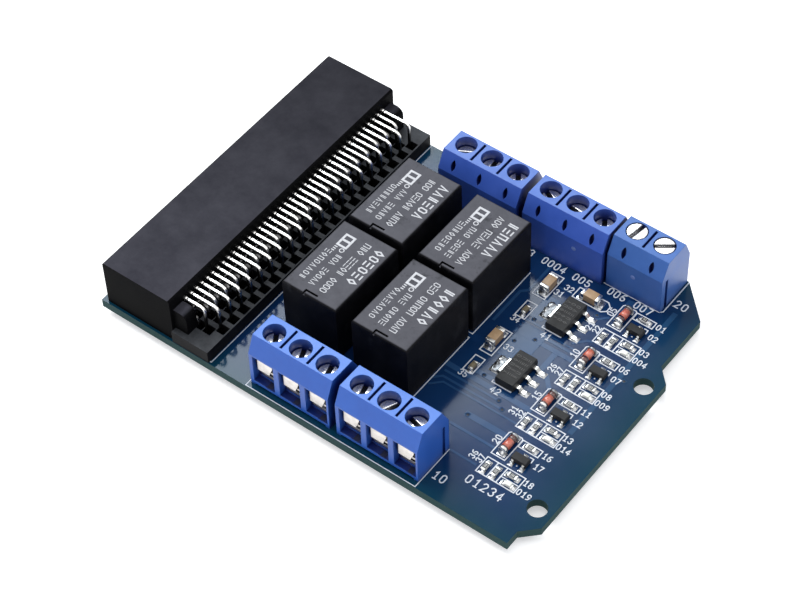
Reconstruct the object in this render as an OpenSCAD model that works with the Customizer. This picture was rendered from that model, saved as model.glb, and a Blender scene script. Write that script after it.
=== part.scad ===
// Relay module board: four sealed relays, five rising screw terminal blocks and an
// 80-way right-angle card-edge connector on a shield-shaped circuit board.
// Millimetres. The board lies flat: X along its length, Y across it, Z up.
// The origin is at the centre of the board, level with the tips of the leads below it.

/* [Board] */
// Length of the board, tongue included
board_l = 80.9; // [80:0.1:84]
// Width of the board
board_w = 57.15; // [57.15:0.05:60]
// Thickness of the board
board_t = 1.6; // [1:0.1:2.4]
// How far the tongue stands out of the right-hand edge
tongue_step = 2.54; // [1.5:0.1:3]
// Where the tongue starts, from the front edge
tongue_front = 5.08; // [4:0.1:7]
// Where the tongue ends, from the front edge
tongue_back = 37.85; // [37:0.1:42]
// Cut corner at the back of the right-hand edge
corner_cut = 5.8; // [3:0.1:7]
// Diameter of the two mounting holes
mount_hole_d = 3.2; // [2.6:0.1:3.6]
// Distance from the front edge to the first mounting hole
mount_hole_front = 7.62; // [7:0.01:9]
// Distance between the mounting holes
mount_hole_pitch = 27.94; // [26:0.01:29]
// Length of each lead below the board
lead_below = 1.5; // [1:0.1:2.5]
// Clearance round a lead in its hole in the board
lead_clear = 0.12; // [0.08:0.01:0.2]

/* [Edge connector] */
// Contacts in each row
contact_count = 40; // [20:2:40]
// Distance between neighbouring contacts
contact_pitch = 1.27; // [1.1:0.01:1.3]
// Width of a contact's tail
contact_w = 0.42; // [0.3:0.01:0.5]
// Thickness of a contact's tail
contact_t = 0.36; // [0.25:0.01:0.5]
// Distance between neighbouring lines of tails
tail_pitch = 1.7; // [1.4:0.05:1.8]
// Bend radius in a tail, on its centre line
tail_bend_r = 0.9; // [0.6:0.05:1.1]
// Depth of the housing along X
conn_depth = 13.6; // [12.6:0.1:14]
// Length of the housing along Y
conn_l = 56.3; // [55.8:0.1:57]
// Height of the housing
conn_h = 9.1; // [8.8:0.1:10]
// Gap from the board's left edge to the housing's mouth
conn_inset = 1.05; // [0.2:0.05:1.4]
// Height of the card slot's centre line
slot_z = 5.4; // [5:0.05:5.6]
// Height of the card slot
slot_h = 1.75; // [1.6:0.05:2]
// Length of the card slot
slot_l = 51.6; // [51:0.1:53]
// Depth of the card slot
slot_depth = 9.2; // [7:0.1:10]
// Height of the pin guide
guide_h = 2.4; // [1.6:0.1:2.6]
// Gap from each side edge of the board to the end of the pin guide
guide_inset = 0.075; // [0:0.025:0.5]
// Plain rim outside the last line of windows
guide_rim = 0.25; // [0.2:0.05:1]
// Depth of an end block along X
block_depth = 2.55; // [2:0.05:2.7]
// Width of an end block along Y
block_w = 2.3; // [1.5:0.1:2.5]
// Height of an end block's top
block_top = 6.6; // [5.5:0.1:7.5]

/* [Relays] */
// Relay width along X
relay_w = 10.4; // [10:0.1:10.8]
// Relay length along Y
relay_l = 15.4; // [15:0.1:16]
// Relay height above the board
relay_h = 11.7; // [10:0.1:13]
// Distance between the two columns of relays
relay_pitch_x = 13.35; // [12.5:0.05:14]
// Distance between the two rows of relays
relay_pitch_y = 16.55; // [16.3:0.05:17]
// Centre of the relay nearest the connector, from the left edge
relay_x = 32.6; // [31:0.1:34]
// Centre of the front row of relays, from the front edge
relay_y = 20.05; // [19:0.05:21]
// Edge round of a relay case
relay_round = 0.45; // [0.2:0.05:0.8]
// Side of a relay pin
relay_pin_w = 0.5; // [0.4:0.05:0.7]

/* [Terminal blocks] */
// Distance between neighbouring poles
pole_pitch = 5.08; // [5:0.01:5.1]
// Depth of a block along Y
block_y = 7.75; // [7.6:0.05:8.2]
// Height of a block
block_h = 10.2; // [10.1:0.1:11]
// Height where the sloping faces start
shoulder_z = 7.0; // [6.9:0.05:7.4]
// From the wire side to the front of the flat top
top_front = 1.4; // [1.3:0.05:1.6]
// From the back to the rear of the flat top
top_rear = 1.6; // [1.3:0.05:1.8]
// From the wire side to the screws
screw_y = 3.5; // [3.3:0.05:3.7]
// Diameter of the screw wells
well_d = 3.6; // [3.5:0.05:3.8]
// Width of a wire entry
entry_w = 4.05; // [3.9:0.05:4.2]
// How far a wire entry lies off the pole's centre
entry_shift = 0.15; // [0:0.05:0.2]
// Bottom of the wire entries
entry_low = 1.0; // [0.9:0.05:1.2]
// Top of the wire entries
entry_high = 6.7; // [6.6:0.05:6.8]
// Diameter of a screw's head
head_d = 3.3; // [3:0.05:3.4]
// Thickness of a screw's head
head_h = 0.95; // [0.85:0.05:1]
// Width of the slot across a screw's head
driver_slot = 0.7; // [0.5:0.05:0.9]
// Diameter of a screw's shank
shank_d = 2.4; // [2:0.05:2.6]
// Radial running clearance of the shank in its nut plate
thread_clear = 0.05; // [0.03:0.01:0.08]
// Thickness of the clamp plates
plate_t = 0.4; // [0.35:0.01:0.45]
// Underside of a half-open clamp plate
clamp_z = 3.4; // [3.3:0.05:3.5]
// How much higher the power block's clamps stand
power_lift = 1.9; // [1.3:0.05:1.95]
// Front row: first pole from the left edge
front_row_x = 32.15; // [31:0.05:33]
// Front row: screws from the front edge
front_row_y = 4.6; // [4.2:0.05:4.8]
// Front row: gap between its two blocks
front_row_gap = 1.36; // [0.3:0.02:1.8]
// Back row: first pole from the left edge
back_row_x = 32.45; // [31:0.05:33]
// Back row: screws from the back edge
back_row_inset = 4.35; // [3.75:0.05:4.6]
// Back row: gap between its two long blocks
back_row_gap = 1.26; // [0.3:0.02:1.4]
// Gap between the back row's long blocks and the power block
power_gap = 0.52; // [0.3:0.02:0.7]
// Power block: screws from the back edge
power_inset = 3.75; // [3.6:0.05:4.35]

/* [Small parts] */
// Regulators: centre from the left edge
reg_x = 61.4; // [60.5:0.1:62]
// Regulators: centres from the front edge
reg_y = [26.1, 39.35];
// Distance between neighbouring relay channels
channel_pitch = 10.18; // [9.8:0.01:10.3]
// First channel's transistor, from the left edge
channel_x = 71.5; // [71:0.05:72]
// First channel's transistor, from the front edge
channel_y = 13.0; // [12.5:0.05:13.5]

/* [Hidden] */

eps = 0.01;                         // overshoot of a cut past the face it opens
board_top = lead_below + board_t;   // height of the board's upper face
conn_y = board_w / 2;               // the connector is centred across the board
conn_back = conn_inset + conn_depth;
half = contact_count / 2;           // contacts of each length in a row
tail_reach = 5.8;                   // from the housing's back to the outermost line of tails
row_rise = 1.7;                     // upper row of tails above the slot's centre line
row_drop = 1.5;                     // lower row of tails below it
tail_last = conn_back + tail_reach; // line of the outermost tails
upper_z = slot_z + row_rise;        // height of the upper row of tails
lower_z = slot_z - row_drop;        // height of the lower row of tails
guide_l = board_w - 2 * guide_inset;   // length of the pin guide

back_row_y = board_w - back_row_inset;
power_y = board_w - power_inset;
front_row_step = 3 * pole_pitch + front_row_gap;
back_row_step = 3 * pole_pitch + back_row_gap;
// One entry per terminal block: [first pole x, pole y, poles, wire side (-1 front, 1 back), lift]
blocks = [
    [back_row_x, back_row_y, 3, 1, 0],
    [back_row_x + back_row_step, back_row_y, 3, 1, 0],
    [front_row_x, front_row_y, 3, -1, 0],
    [front_row_x + front_row_step, front_row_y, 3, -1, 0],
    [back_row_x + back_row_step + 3 * pole_pitch + power_gap, power_y, 2, 1, power_lift]
];
// One entry per pole: [block, place in the block]
poles = [for (b = [0 : 4]) for (k = [0 : blocks[b][2] - 1]) [b, k]];
// How far each screw's slot is turned, in the order of the poles
slot_turn = [75, 5, 8, 20, 70, 0, 0, 15, 60, 80, 40, 120, 50, 140];

// Places children on the board's upper face, measured from its front left corner.
module on_board(x, y, z = 0)
    translate([x - board_l / 2, y - board_w / 2, board_top + z]) children();

// ---------------------------------------------------------------- board

module board_outline() {
    right = board_l - tongue_step;
    polygon([
        [0, 0], [right, 0], [right, tongue_step], [board_l, tongue_front],
        [board_l, tongue_back], [right, tongue_back + tongue_step],
        [right, board_w - corner_cut], [right - corner_cut, board_w], [0, board_w]
    ]);
}

module pcb() {
    color([0.07, 0.16, 0.36])
    difference() {
        on_board(0, 0, -board_t) linear_extrude(board_t) board_outline();
        for (k = [0, 1])
            on_board(board_l - tongue_step, mount_hole_front + k * mount_hole_pitch, -board_t - 1)
                cylinder(d = mount_hole_d, h = board_t + 2, $fn = 48);
        for (row = [0 : 3]) for (k = [0 : half - 1]) {
            p = tail_place(row, k);
            lead_hole(p[0], p[1], contact_w);
        }
        for (r = [0 : 3]) for (p = relay_pin_places)
            lead_hole(relay_centre(r)[0] + p[0], relay_centre(r)[1] + p[1], relay_pin_w);
        for (p = poles) {
            c = pole_centre(p);
            lead_hole(c[0], c[1] - blocks[p[0]][3] * post_back, post_w);
        }
    }
}

// Round hole for a square lead
module lead_hole(x, y, w)
    on_board(x, y, -board_t - 1)
        cylinder(d = w * sqrt(2) + 2 * lead_clear, h = board_t + 2, $fn = 24);

// ---------------------------------------------------------------- edge connector

mouth_bevel = 0.8;          // bevel round the mouth of the card slot
edge_bevel = 0.3;           // bevel along the housing's upper edges
groove_gap = 0.12;          // clearance each side of a blade in its groove
groove_h = 1.5;             // depth of that groove above or below the slot
groove_in = 2.2;            // where the grooves start, behind the mouth
groove_more = 1.2;          // how far they run on behind the card slot
cell_gap = 0.05;            // clearance round a tail in the rear wall
blade_in = 0.3;             // from a groove's start to the blade's free end
blade_lean = 0.45;          // how far the free end leans towards the slot
blade_press = 0.15;         // how far the blade's knee stands into the slot
knee_in = 1.4;              // from the free end to the knee
root_more = 0.2;            // from the blade's root to its groove's end
shoulder_r = 0.28;          // pressed shoulder of a contact, just outside the rear wall
shoulder_out = 0.36;        // its centre, from that wall
window_w = 1.65;            // window in the pin guide, across the board
window_l = 1.55;            // window in the pin guide, along the board
window_off = 0.4;           // how far a window lies outside its tail
guide_depth = tail_last + window_off + window_l / 2 + guide_rim - conn_back;
block_in = 0.7;             // end blocks, from the housing's ends
block_r = 1.3;              // their rounded outer corner

// Height of row 0 and 1 (upper tails) and of row 2 and 3 (lower tails)
function row_z(row) = row < 2 ? upper_z : lower_z;
// Rows from the outermost inwards: upper long, upper short, lower long, lower short
function row_x(row) = tail_last - row * tail_pitch;
// Long tails take the odd places of the upper row and the even places of the lower row
function row_offset(row) = row == 0 || row == 3 ? 1 : 0;
function contact_y(i) = conn_y + (i - (contact_count - 1) / 2) * contact_pitch;
function tail_place(row, k) = [row_x(row), contact_y(2 * k + row_offset(row))];

// The housing's block, with a fine bevel along its upper long edges
module housing_block() {
    b = edge_bevel;
    translate([conn_inset, conn_y + conn_l / 2, 0]) rotate([90, 0, 0]) linear_extrude(conn_l)
        polygon([
            [0, 0], [conn_depth, 0], [conn_depth, conn_h - b],
            [conn_depth - b, conn_h], [b, conn_h], [0, conn_h - b]
        ]);
}

// Block behind each end of the housing, standing on the pin guide
module end_block() {
    r = block_r;
    translate([-eps, block_w, 0]) rotate([90, 0, 0]) linear_extrude(block_w) {
        translate([0, guide_h]) square([block_depth + eps, block_top - r - guide_h]);
        translate([0, guide_h]) square([block_depth + eps - r, block_top - guide_h]);
        translate([block_depth + eps - r, block_top - r]) circle(r, $fn = 48);
    }
}

module edge_connector_housing() {
    low = conn_y - slot_l / 2;
    block_y0 = conn_y - conn_l / 2 + block_in;
    color([0.2, 0.2, 0.23])
    on_board(0, 0)
    difference() {
        union() {
            housing_block();
            for (y = [block_y0, 2 * conn_y - block_y0 - block_w])
                translate([conn_back, y, 0]) end_block();
        }
        // card slot and its bevelled mouth
        translate([conn_inset - eps, low, slot_z - slot_h / 2])
            cube([slot_depth, slot_l, slot_h]);
        translate([conn_inset, conn_y + slot_l / 2 + mouth_bevel, slot_z]) rotate([90, 0, 0])
            linear_extrude(slot_l + 2 * mouth_bevel)
                polygon([
                    [-eps, -slot_h / 2 - mouth_bevel], [mouth_bevel, -slot_h / 2],
                    [mouth_bevel, slot_h / 2], [-eps, slot_h / 2 + mouth_bevel]
                ]);
        for (i = [0 : contact_count - 1]) contact_cell(contact_y(i));
    }
}

// Groove and rear passage of one contact, above and below the slot
module contact_cell(y) {
    start = conn_inset + groove_in;
    end = conn_inset + slot_depth + groove_more;
    groove_w = contact_w + 2 * groove_gap;
    cell_w = contact_w + 2 * cell_gap;
    cell_h = contact_t + 2 * cell_gap;
    reach = slot_h / 2 + groove_h;
    for (side = [-1, 1]) {
        tail_z = side > 0 ? upper_z : lower_z;
        translate([start, y - groove_w / 2, side > 0 ? slot_z : slot_z - reach])
            cube([end - start, groove_w, reach]);
        translate([end - eps, y - cell_w / 2, tail_z - cell_h / 2])
            cube([conn_back - end + 1, cell_w, cell_h]);
    }
}

// One contact: a sprung blade in its groove, a straight run out of the housing
// and a rounded bend down through the board. Drawn in the XZ plane.
module contact(x_tail, z_run) {
    side = z_run > slot_z ? 1 : -1;
    start = conn_inset + groove_in + blade_in;
    knee = start + knee_in;
    root = conn_inset + slot_depth + groove_more - root_more;
    t = contact_t;
    r = tail_bend_r;
    bottom = -board_t - lead_below;
    touch = slot_z + side * (slot_h / 2 - blade_press);
    inner = z_run - side * t / 2;
    outer = z_run + side * t / 2;
    rotate([90, 0, 0]) translate([0, 0, -contact_w / 2]) linear_extrude(contact_w) {
        // blade: a bowed strip that leans into the slot
        polygon([
            [start, inner - side * blade_lean], [knee, touch], [root, inner],
            [root, outer], [knee, touch + side * t], [start, outer - side * blade_lean]
        ]);
        // run out to the bend
        translate([root - eps, z_run - t / 2]) square([x_tail - r - root + 2 * eps, t]);
        // shoulder that stops the contact at the rear wall
        translate([conn_back + shoulder_out, z_run]) circle(shoulder_r, $fn = 24);
        // bend
        translate([x_tail - r, z_run - r]) intersection() {
            difference() {
                circle(r + t / 2, $fn = 48);
                circle(r - t / 2, $fn = 48);
            }
            square(r + t);
        }
        // tail down through the board
        translate([x_tail - t / 2, bottom]) square([t, z_run - r - bottom + eps]);
    }
}

module contact_row(row) {
    color([0.86, 0.86, 0.84])
    on_board(0, 0)
        for (k = [0 : half - 1])
            translate([0, tail_place(row, k)[1], 0]) contact(row_x(row), row_z(row));
}

module contacts_upper_long() contact_row(0);
module contacts_upper_short() contact_row(1);
module contacts_lower_long() contact_row(2);
module contacts_lower_short() contact_row(3);

// Plate with a window for each tail, which keeps the four lines of tails apart
module pin_guide() {
    color([0.23, 0.23, 0.25])
    on_board(conn_back, 0)
    difference() {
        translate([0, conn_y - guide_l / 2, 0]) cube([guide_depth, guide_l, guide_h]);
        for (row = [0 : 3]) for (k = [0 : half - 1]) {
            p = tail_place(row, k);
            translate([p[0] - conn_back - window_l / 2 + window_off, p[1] - window_w / 2, -1])
                cube([window_l, window_w, guide_h + 2]);
        }
    }
}

// ---------------------------------------------------------------- relays

base_t = 1.2;               // thickness of a relay's base plate
base_gap = 0.05;            // fit of the base plate in the case
case_wall = 0.8;
case_lift = 0.3;            // feet under the base keep it off the board
vent_x = 1.2;               // hooked notch in the lid: from its leg to the relay's centre line
vent_in = 0.9;              // how far it reaches in from the front edge
vent_w = 0.35;
vent_depth = 0.5;
foot_d = 1;
foot_in = 0.6;              // from the base plate's long side to its feet
pin_gap = 0.03;             // fit of a relay pin in the base plate
pin_seat = 0.8;             // how far a pin stands up into the base plate
// Relay pins, from the relay's centre
relay_pin_places = [
    [-3.81, -6.35], [3.81, -6.35], [-3.81, -1.27], [3.81, -1.27], [-3.81, 6.35], [3.81, 6.35]
];

function relay_centre(r) = [
    relay_x + (r % 2) * relay_pitch_x,
    relay_y + (r < 2 ? 0 : 1) * relay_pitch_y
];

// Rectangle with rounded upper corners, standing on y = 0 and centred on x = 0
module arched(w, h, r) {
    translate([-w / 2, 0]) square([w, h - r]);
    translate([-w / 2 + r, 0]) square([w - 2 * r, h]);
    for (s = [-1, 1]) translate([s * (w / 2 - r), h - r]) circle(r, $fn = 32);
}

module relay_case(r) {
    h = relay_h - case_lift;
    c = relay_centre(r);
    color([0.38, 0.38, 0.41])
    on_board(c[0], c[1], case_lift)
    difference() {
        intersection() {
            translate([0, relay_l / 2, 0]) rotate([90, 0, 0]) linear_extrude(relay_l)
                arched(relay_w, h, relay_round);
            translate([-relay_w / 2, 0, 0]) rotate([90, 0, 90]) linear_extrude(relay_w)
                arched(relay_l, h, relay_round);
        }
        // recess for the base plate
        translate([-relay_w / 2 + case_wall, -relay_l / 2 + case_wall, -1])
            cube([relay_w - 2 * case_wall, relay_l - 2 * case_wall, 1 + base_t]);
        // hooked notch of the vent tab in the lid
        translate([-vent_x, -relay_l / 2 + vent_in - vent_w, h - vent_depth])
            cube([2 * vent_x, vent_w, 1]);
        translate([-vent_x, -relay_l / 2 - 1, h - vent_depth]) cube([vent_w, 1 + vent_in, 1]);
    }
}

module relay_base(r) {
    c = relay_centre(r);
    gap = case_wall + base_gap;
    w = relay_w - 2 * gap;
    l = relay_l - 2 * gap;
    color([0.08, 0.08, 0.09])
    on_board(c[0], c[1])
    difference() {
        union() {
            translate([-w / 2, -l / 2, case_lift]) cube([w, l, base_t]);
            for (x = [-1, 1]) for (y = [-1, 1])
                translate([x * (w / 2 - foot_in), y * l / 4, 0])
                    cylinder(d = foot_d, h = case_lift + eps, $fn = 24);
        }
        for (p = relay_pin_places)
            translate([p[0] - relay_pin_w / 2 - pin_gap, p[1] - relay_pin_w / 2 - pin_gap, -1])
                cube([relay_pin_w + 2 * pin_gap, relay_pin_w + 2 * pin_gap,
                      1 + case_lift + pin_seat]);
    }
}

module relay_case_1() relay_case(0);
module relay_case_2() relay_case(1);
module relay_case_3() relay_case(2);
module relay_case_4() relay_case(3);
module relay_base_1() relay_base(0);
module relay_base_2() relay_base(1);
module relay_base_3() relay_base(2);
module relay_base_4() relay_base(3);

module relay_pins() {
    color([0.85, 0.85, 0.83])
    for (r = [0 : 3]) for (p = relay_pin_places)
        on_board(relay_centre(r)[0] + p[0], relay_centre(r)[1] + p[1], -board_t - lead_below)
            translate([-relay_pin_w / 2, -relay_pin_w / 2, 0])
                cube([relay_pin_w, relay_pin_w, board_t + lead_below + case_lift + pin_seat]);
}

// ---------------------------------------------------------------- terminal blocks
// Each block is drawn with its wire side at y = 0 and its back at y = block_y,
// then turned so that the wire side faces the board's nearest edge.

room_depth = 5.75;          // depth of the chamber behind a wire entry
room_low = 1.5;             // floor of that chamber
frame_w = 3.5;              // width of the metal frame in its chamber
frame_t = 0.5;              // its sheet
frame_gap = 0.05;           // from the frame to the chamber's back
frame_front = 1.4;          // front edge of the frame's floor
nut_front = 1.25;           // front edge of the nut plate
nut_low = 5.9;              // underside of the nut plate
nut_t = 0.6;
clamp_w = 2.9;              // width of a clamp
clamp_l = 4.3;              // length of its plate
guard_y = 0.6;              // guard flange, behind the wire side
guard_h = 2.3;              // height of the guard, plate included
guard_clip = [0.7, 1.9];    // cut off the guard's lower corner
guard_room = 0.1;           // clearance before, behind and above the guard in its pocket
shank_l = 3.5;              // screw's shank, from its tip to its head
tip_gap = 0.02;             // from the screw's tip to the clamp's plate
driver_depth = 0.6;         // depth of the slot across the head
post_w = 0.9;               // solder post of a frame
post_back = 0.4;            // solder posts, behind the screws
post_gap = 0.1;             // clearance round a post in the body's floor
sill_y = 1.3;               // depth of the stepped sill
sill_step = [0.1, 0.55];    // its slanting step starts and ends here, from the pole
sill_drop = 0.15;
foot_relief = [0.8, 2, 0.35];  // relief under the wire side: end margin, depth, height
dovetail = [0.7, 0.6, 1.0];    // groove in each end face: width, depth, distance from the back
divider = [0.44, 0.35, 0.8];   // slot between two poles: width, end margin, depth
vent_arc_r = 1.55;          // rear vent: the two arcs of its pointed oval
vent_arc_off = 1.15;
vent_up = 0.42;             // its place, as a share of the sloping rear face
vent_in_wall = 1.2;

function pole_centre(p) = [blocks[p[0]][0] + p[1] * pole_pitch, blocks[p[0]][1]];

// Puts a pole's own drawing in place: x = 0 at the pole, y = 0 at the wire side
module at_pole(p) {
    c = pole_centre(p);
    s = blocks[p[0]][3];
    on_board(c[0], c[1]) rotate([0, 0, s > 0 ? 180 : 0]) translate([0, -screw_y, 0]) children();
}

module block_profile() {
    polygon([
        [0, 0], [0, shoulder_z], [top_front, block_h], [block_y - top_rear, block_h],
        [block_y, shoulder_z], [block_y, 0]
    ]);
}

module terminal_body(b) {
    n = blocks[b][2];
    color([0.25, 0.42, 0.82])
    at_pole([b, blocks[b][3] > 0 ? n - 1 : 0])
    difference() {
        translate([-pole_pitch / 2, 0, 0]) rotate([90, 0, 90])
            linear_extrude(n * pole_pitch) block_profile();
        for (k = [0 : n - 1]) translate([k * pole_pitch, 0, 0]) {
            pole_cuts();
            if (k > 0) translate([-pole_pitch / 2, 0, 0]) divider_slot();
        }
        // groove down each end face
        for (x = [-pole_pitch / 2, (n - 0.5) * pole_pitch])
            translate([x - dovetail[1] / 2, block_y - dovetail[2] - dovetail[0], -1])
                cube([dovetail[1], dovetail[0], shoulder_z + 1 - dovetail[1]]);
        // relief under the wire side, between two feet
        translate([foot_relief[0] - pole_pitch / 2, -1, -1])
            cube([n * pole_pitch - 2 * foot_relief[0], 1 + foot_relief[1], 1 + foot_relief[2]]);
    }
}

// Well, chamber, entry, post hole and rear vent of one pole
module pole_cuts() {
    left = entry_shift - entry_w / 2;
    translate([0, screw_y, nut_low]) cylinder(d = well_d, h = block_h, $fn = 48);
    // wire entry, with its stepped sill
    translate([0, room_depth, 0]) rotate([90, 0, 0]) linear_extrude(room_depth + 1)
        polygon([
            [left, room_low], [left, entry_high], [left + entry_w, entry_high],
            [left + entry_w, room_low]
        ]);
    translate([0, sill_y, 0]) rotate([90, 0, 0]) linear_extrude(sill_y + 1)
        polygon([
            [left, entry_low], [left, room_low + eps], [left + entry_w, room_low + eps],
            [left + entry_w, entry_low - sill_drop], [sill_step[1], entry_low - sill_drop],
            [sill_step[0], entry_low]
        ]);
    // pocket for the guard when the clamp is up
    pocket_w = clamp_w + 2 * 3 * guard_room;
    translate([-pocket_w / 2, guard_y - guard_room, entry_high - eps])
        cube([pocket_w, plate_t + 2 * guard_room,
              clamp_z + power_lift + guard_h + guard_room - entry_high + eps]);
    // hole for the solder post
    post_hole = post_w + 2 * post_gap;
    translate([-post_hole / 2, screw_y + post_back - post_hole / 2, -1])
        cube([post_hole, post_hole, room_low + 2]);
    // vent on the sloping rear face
    rear_vent();
}

// Pointed oval hole, square to the sloping rear face
module rear_vent() {
    rise = block_h - shoulder_z;
    slope = atan2(rise, top_rear);
    translate([0, block_y - top_rear * vent_up, shoulder_z + rise * vent_up])
        rotate([90 - slope, 0, 0]) rotate([90, 0, 0]) translate([0, 0, -1])
            linear_extrude(1 + vent_in_wall) intersection() {
                translate([-vent_arc_off, 0]) circle(vent_arc_r, $fn = 48);
                translate([vent_arc_off, 0]) circle(vent_arc_r, $fn = 48);
            }
}

// Narrow slot in the flat top between two poles
module divider_slot()
    translate([-divider[0] / 2, top_front + divider[1], block_h - divider[2]])
        cube([divider[0], block_y - top_front - top_rear - 2 * divider[1], divider[2] + 1]);

// Bent frame of one pole: floor, back and tapped nut plate, with a solder post
module terminal_frame() {
    low = room_low;
    back = room_depth - frame_gap;
    difference() {
        translate([-frame_w / 2, 0, 0]) rotate([90, 0, 90]) linear_extrude(frame_w)
            polygon([
                [frame_front, low], [back, low], [back, nut_low + nut_t],
                [nut_front, nut_low + nut_t], [nut_front, nut_low],
                [back - frame_t, nut_low], [back - frame_t, low + frame_t],
                [frame_front, low + frame_t]
            ]);
        translate([0, screw_y, nut_low - 1])
            cylinder(d = shank_d + 2 * thread_clear, h = nut_t + 2, $fn = 32);
    }
    translate([-post_w / 2, screw_y + post_back - post_w / 2, -board_t - lead_below])
        cube([post_w, post_w, board_t + lead_below + low + eps]);
}

module terminal_frames(b) {
    color([0.82, 0.82, 0.8])
    for (k = [0 : blocks[b][2] - 1]) at_pole([b, k]) terminal_frame();
}

// L-shaped clamp: the plate that presses the wire, and the guard in front of the screw
module wire_clamp(i) {
    p = poles[i - 1];
    w = clamp_w;
    color([0.9, 0.88, 0.84])
    at_pole(p) translate([0, 0, clamp_z + blocks[p[0]][4]]) {
        translate([-w / 2, guard_y + plate_t - eps, 0]) cube([w, clamp_l - plate_t + eps, plate_t]);
        translate([0, guard_y + plate_t, 0]) rotate([90, 0, 0]) linear_extrude(plate_t)
            polygon([
                [-w / 2, 0], [w / 2 - guard_clip[0], 0], [w / 2, guard_clip[1]],
                [w / 2, guard_h], [-w / 2, guard_h]
            ]);
    }
}

// Slotted screw; its tip bears on the clamp's plate
module clamp_screw(i) {
    p = poles[i - 1];
    tip = clamp_z + blocks[p[0]][4] + plate_t + tip_gap;
    head_z = tip + shank_l;
    color([0.9, 0.9, 0.9])
    at_pole(p) translate([0, screw_y, 0]) difference() {
        union() {
            translate([0, 0, tip]) cylinder(d = shank_d, h = head_z - tip + eps, $fn = 32);
            translate([0, 0, head_z]) cylinder(d = head_d, h = head_h, $fn = 48);
        }
        rotate([0, 0, slot_turn[i - 1]])
            translate([-head_d, -driver_slot / 2, head_z + head_h - driver_depth])
                cube([2 * head_d, driver_slot, driver_depth + 1]);
    }
}

module terminal_body_1() terminal_body(0);
module terminal_body_2() terminal_body(1);
module terminal_body_3() terminal_body(2);
module terminal_body_4() terminal_body(3);
module terminal_body_5() terminal_body(4);
module terminal_frames_1() terminal_frames(0);
module terminal_frames_2() terminal_frames(1);
module terminal_frames_3() terminal_frames(2);
module terminal_frames_4() terminal_frames(3);
module terminal_frames_5() terminal_frames(4);

// ---------------------------------------------------------------- small parts

// Rectangular chip part with its metal ends, long side along X
module chip(l, w, h, cap) {
    translate([-l / 2 + cap, -w / 2 + 0.02, 0.03]) cube([l - 2 * cap, w - 0.04, h - 0.05]);
    for (s = [-1, 1]) translate([s * (l - cap) / 2 - cap / 2, -w / 2, 0]) cube([cap, w, h]);
}

function channel_place(k, dx, dy) = [channel_x + dx, channel_y + k * channel_pitch + dy];

module at_channel(k, dx, dy) {
    p = channel_place(k, dx, dy);
    on_board(p[0], p[1]) children();
}

// Power package: a moulded body, three legs on one side and a wide tab on the other
module regulator() {
    body_l = 6.5;
    body_w = 3.5;
    leg_w = 0.72;
    tab_w = 3.0;
    leg_l = 1.8;
    leg_z = 0.85;
    h = 1.65;
    translate([0, body_l / 2, 0.1]) rotate([90, 0, 0]) linear_extrude(body_l)
        polygon([
            [-body_w / 2 + 0.1, 0], [body_w / 2 - 0.1, 0], [body_w / 2, 0.75],
            [body_w / 2 - 0.15, h - 0.1], [-body_w / 2 + 0.15, h - 0.1], [-body_w / 2, 0.75]
        ]);
    for (y = [-2.3, 0, 2.3])
        translate([body_w / 2 - 0.05, y, 0]) gull_leg(leg_l, leg_w, leg_z);
    mirror([1, 0, 0]) translate([body_w / 2 - 0.05, 0, 0]) gull_leg(leg_l, tab_w, leg_z);
}

// Bent leg that leaves a package at height z and ends flat on the board
module gull_leg(l, w, z) {
    t = 0.25;
    translate([0, w / 2, 0]) rotate([90, 0, 0]) linear_extrude(w)
        polygon([
            [0, z], [l * 0.35, z], [l * 0.6, t], [l, t], [l, 0], [l * 0.5, 0],
            [l * 0.27, z - t], [0, z - t]
        ]);
}

module small_transistor() {
    translate([0, 0.65, 0.1]) rotate([90, 0, 0]) linear_extrude(1.3)
        polygon([[-1.4, 0], [1.4, 0], [1.46, 0.45], [1.36, 0.95], [-1.36, 0.95], [-1.46, 0.45]]);
    for (x = [-0.95, 0.95]) translate([x, -0.62, 0]) rotate([0, 0, -90]) gull_leg(0.65, 0.4, 0.6);
    translate([0, 0.62, 0]) rotate([0, 0, 90]) gull_leg(0.65, 0.4, 0.6);
}

// Glass diode between two end caps, lying along Y
module glass_diode() {
    l = 3.5;
    r = 0.75;
    translate([0, -l / 2, r]) rotate([-90, 0, 0]) {
        cylinder(r = r, h = 0.45, $fn = 32);
        translate([0, 0, 0.45]) cylinder(r = r - 0.06, h = l - 0.9, $fn = 32);
        translate([0, 0, l - 0.45]) cylinder(r = r, h = 0.45, $fn = 32);
    }
}

module regulators() {
    color([0.1, 0.1, 0.1]) for (y = reg_y) on_board(reg_x, y) regulator();
}

module transistors() {
    color([0.1, 0.1, 0.1]) for (k = [0 : 3]) at_channel(k, 0, 0) small_transistor();
}

// Places of one channel's parts, from its transistor
diode_at = [-3.1, 1.45];
base_resistor_at = [-0.1, 2.75];
pull_resistors_at = [[-3.6, -3.85], [-1.8, -3.8]];
lamp_resistor_at = [0.7, -3.0];
lamp_at = [1.0, -4.55];
// Small chips: length, width and depth of an end cap
small_chip = [1.6, 0.82, 0.3];
small_chip_h = 0.5;
lamp_h = 0.6;

module diodes() {
    color([0.75, 0.3, 0.22]) for (k = [0 : 3]) at_channel(k, diode_at[0], diode_at[1]) glass_diode();
}

module resistor() chip(small_chip[0], small_chip[1], small_chip_h, small_chip[2]);

module resistors() {
    color([0.09, 0.09, 0.1])
    for (k = [0 : 3]) {
        at_channel(k, base_resistor_at[0], base_resistor_at[1]) resistor();
        for (p = pull_resistors_at) at_channel(k, p[0], p[1]) rotate([0, 0, 90]) resistor();
        at_channel(k, lamp_resistor_at[0], lamp_resistor_at[1]) resistor();
    }
}

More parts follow.
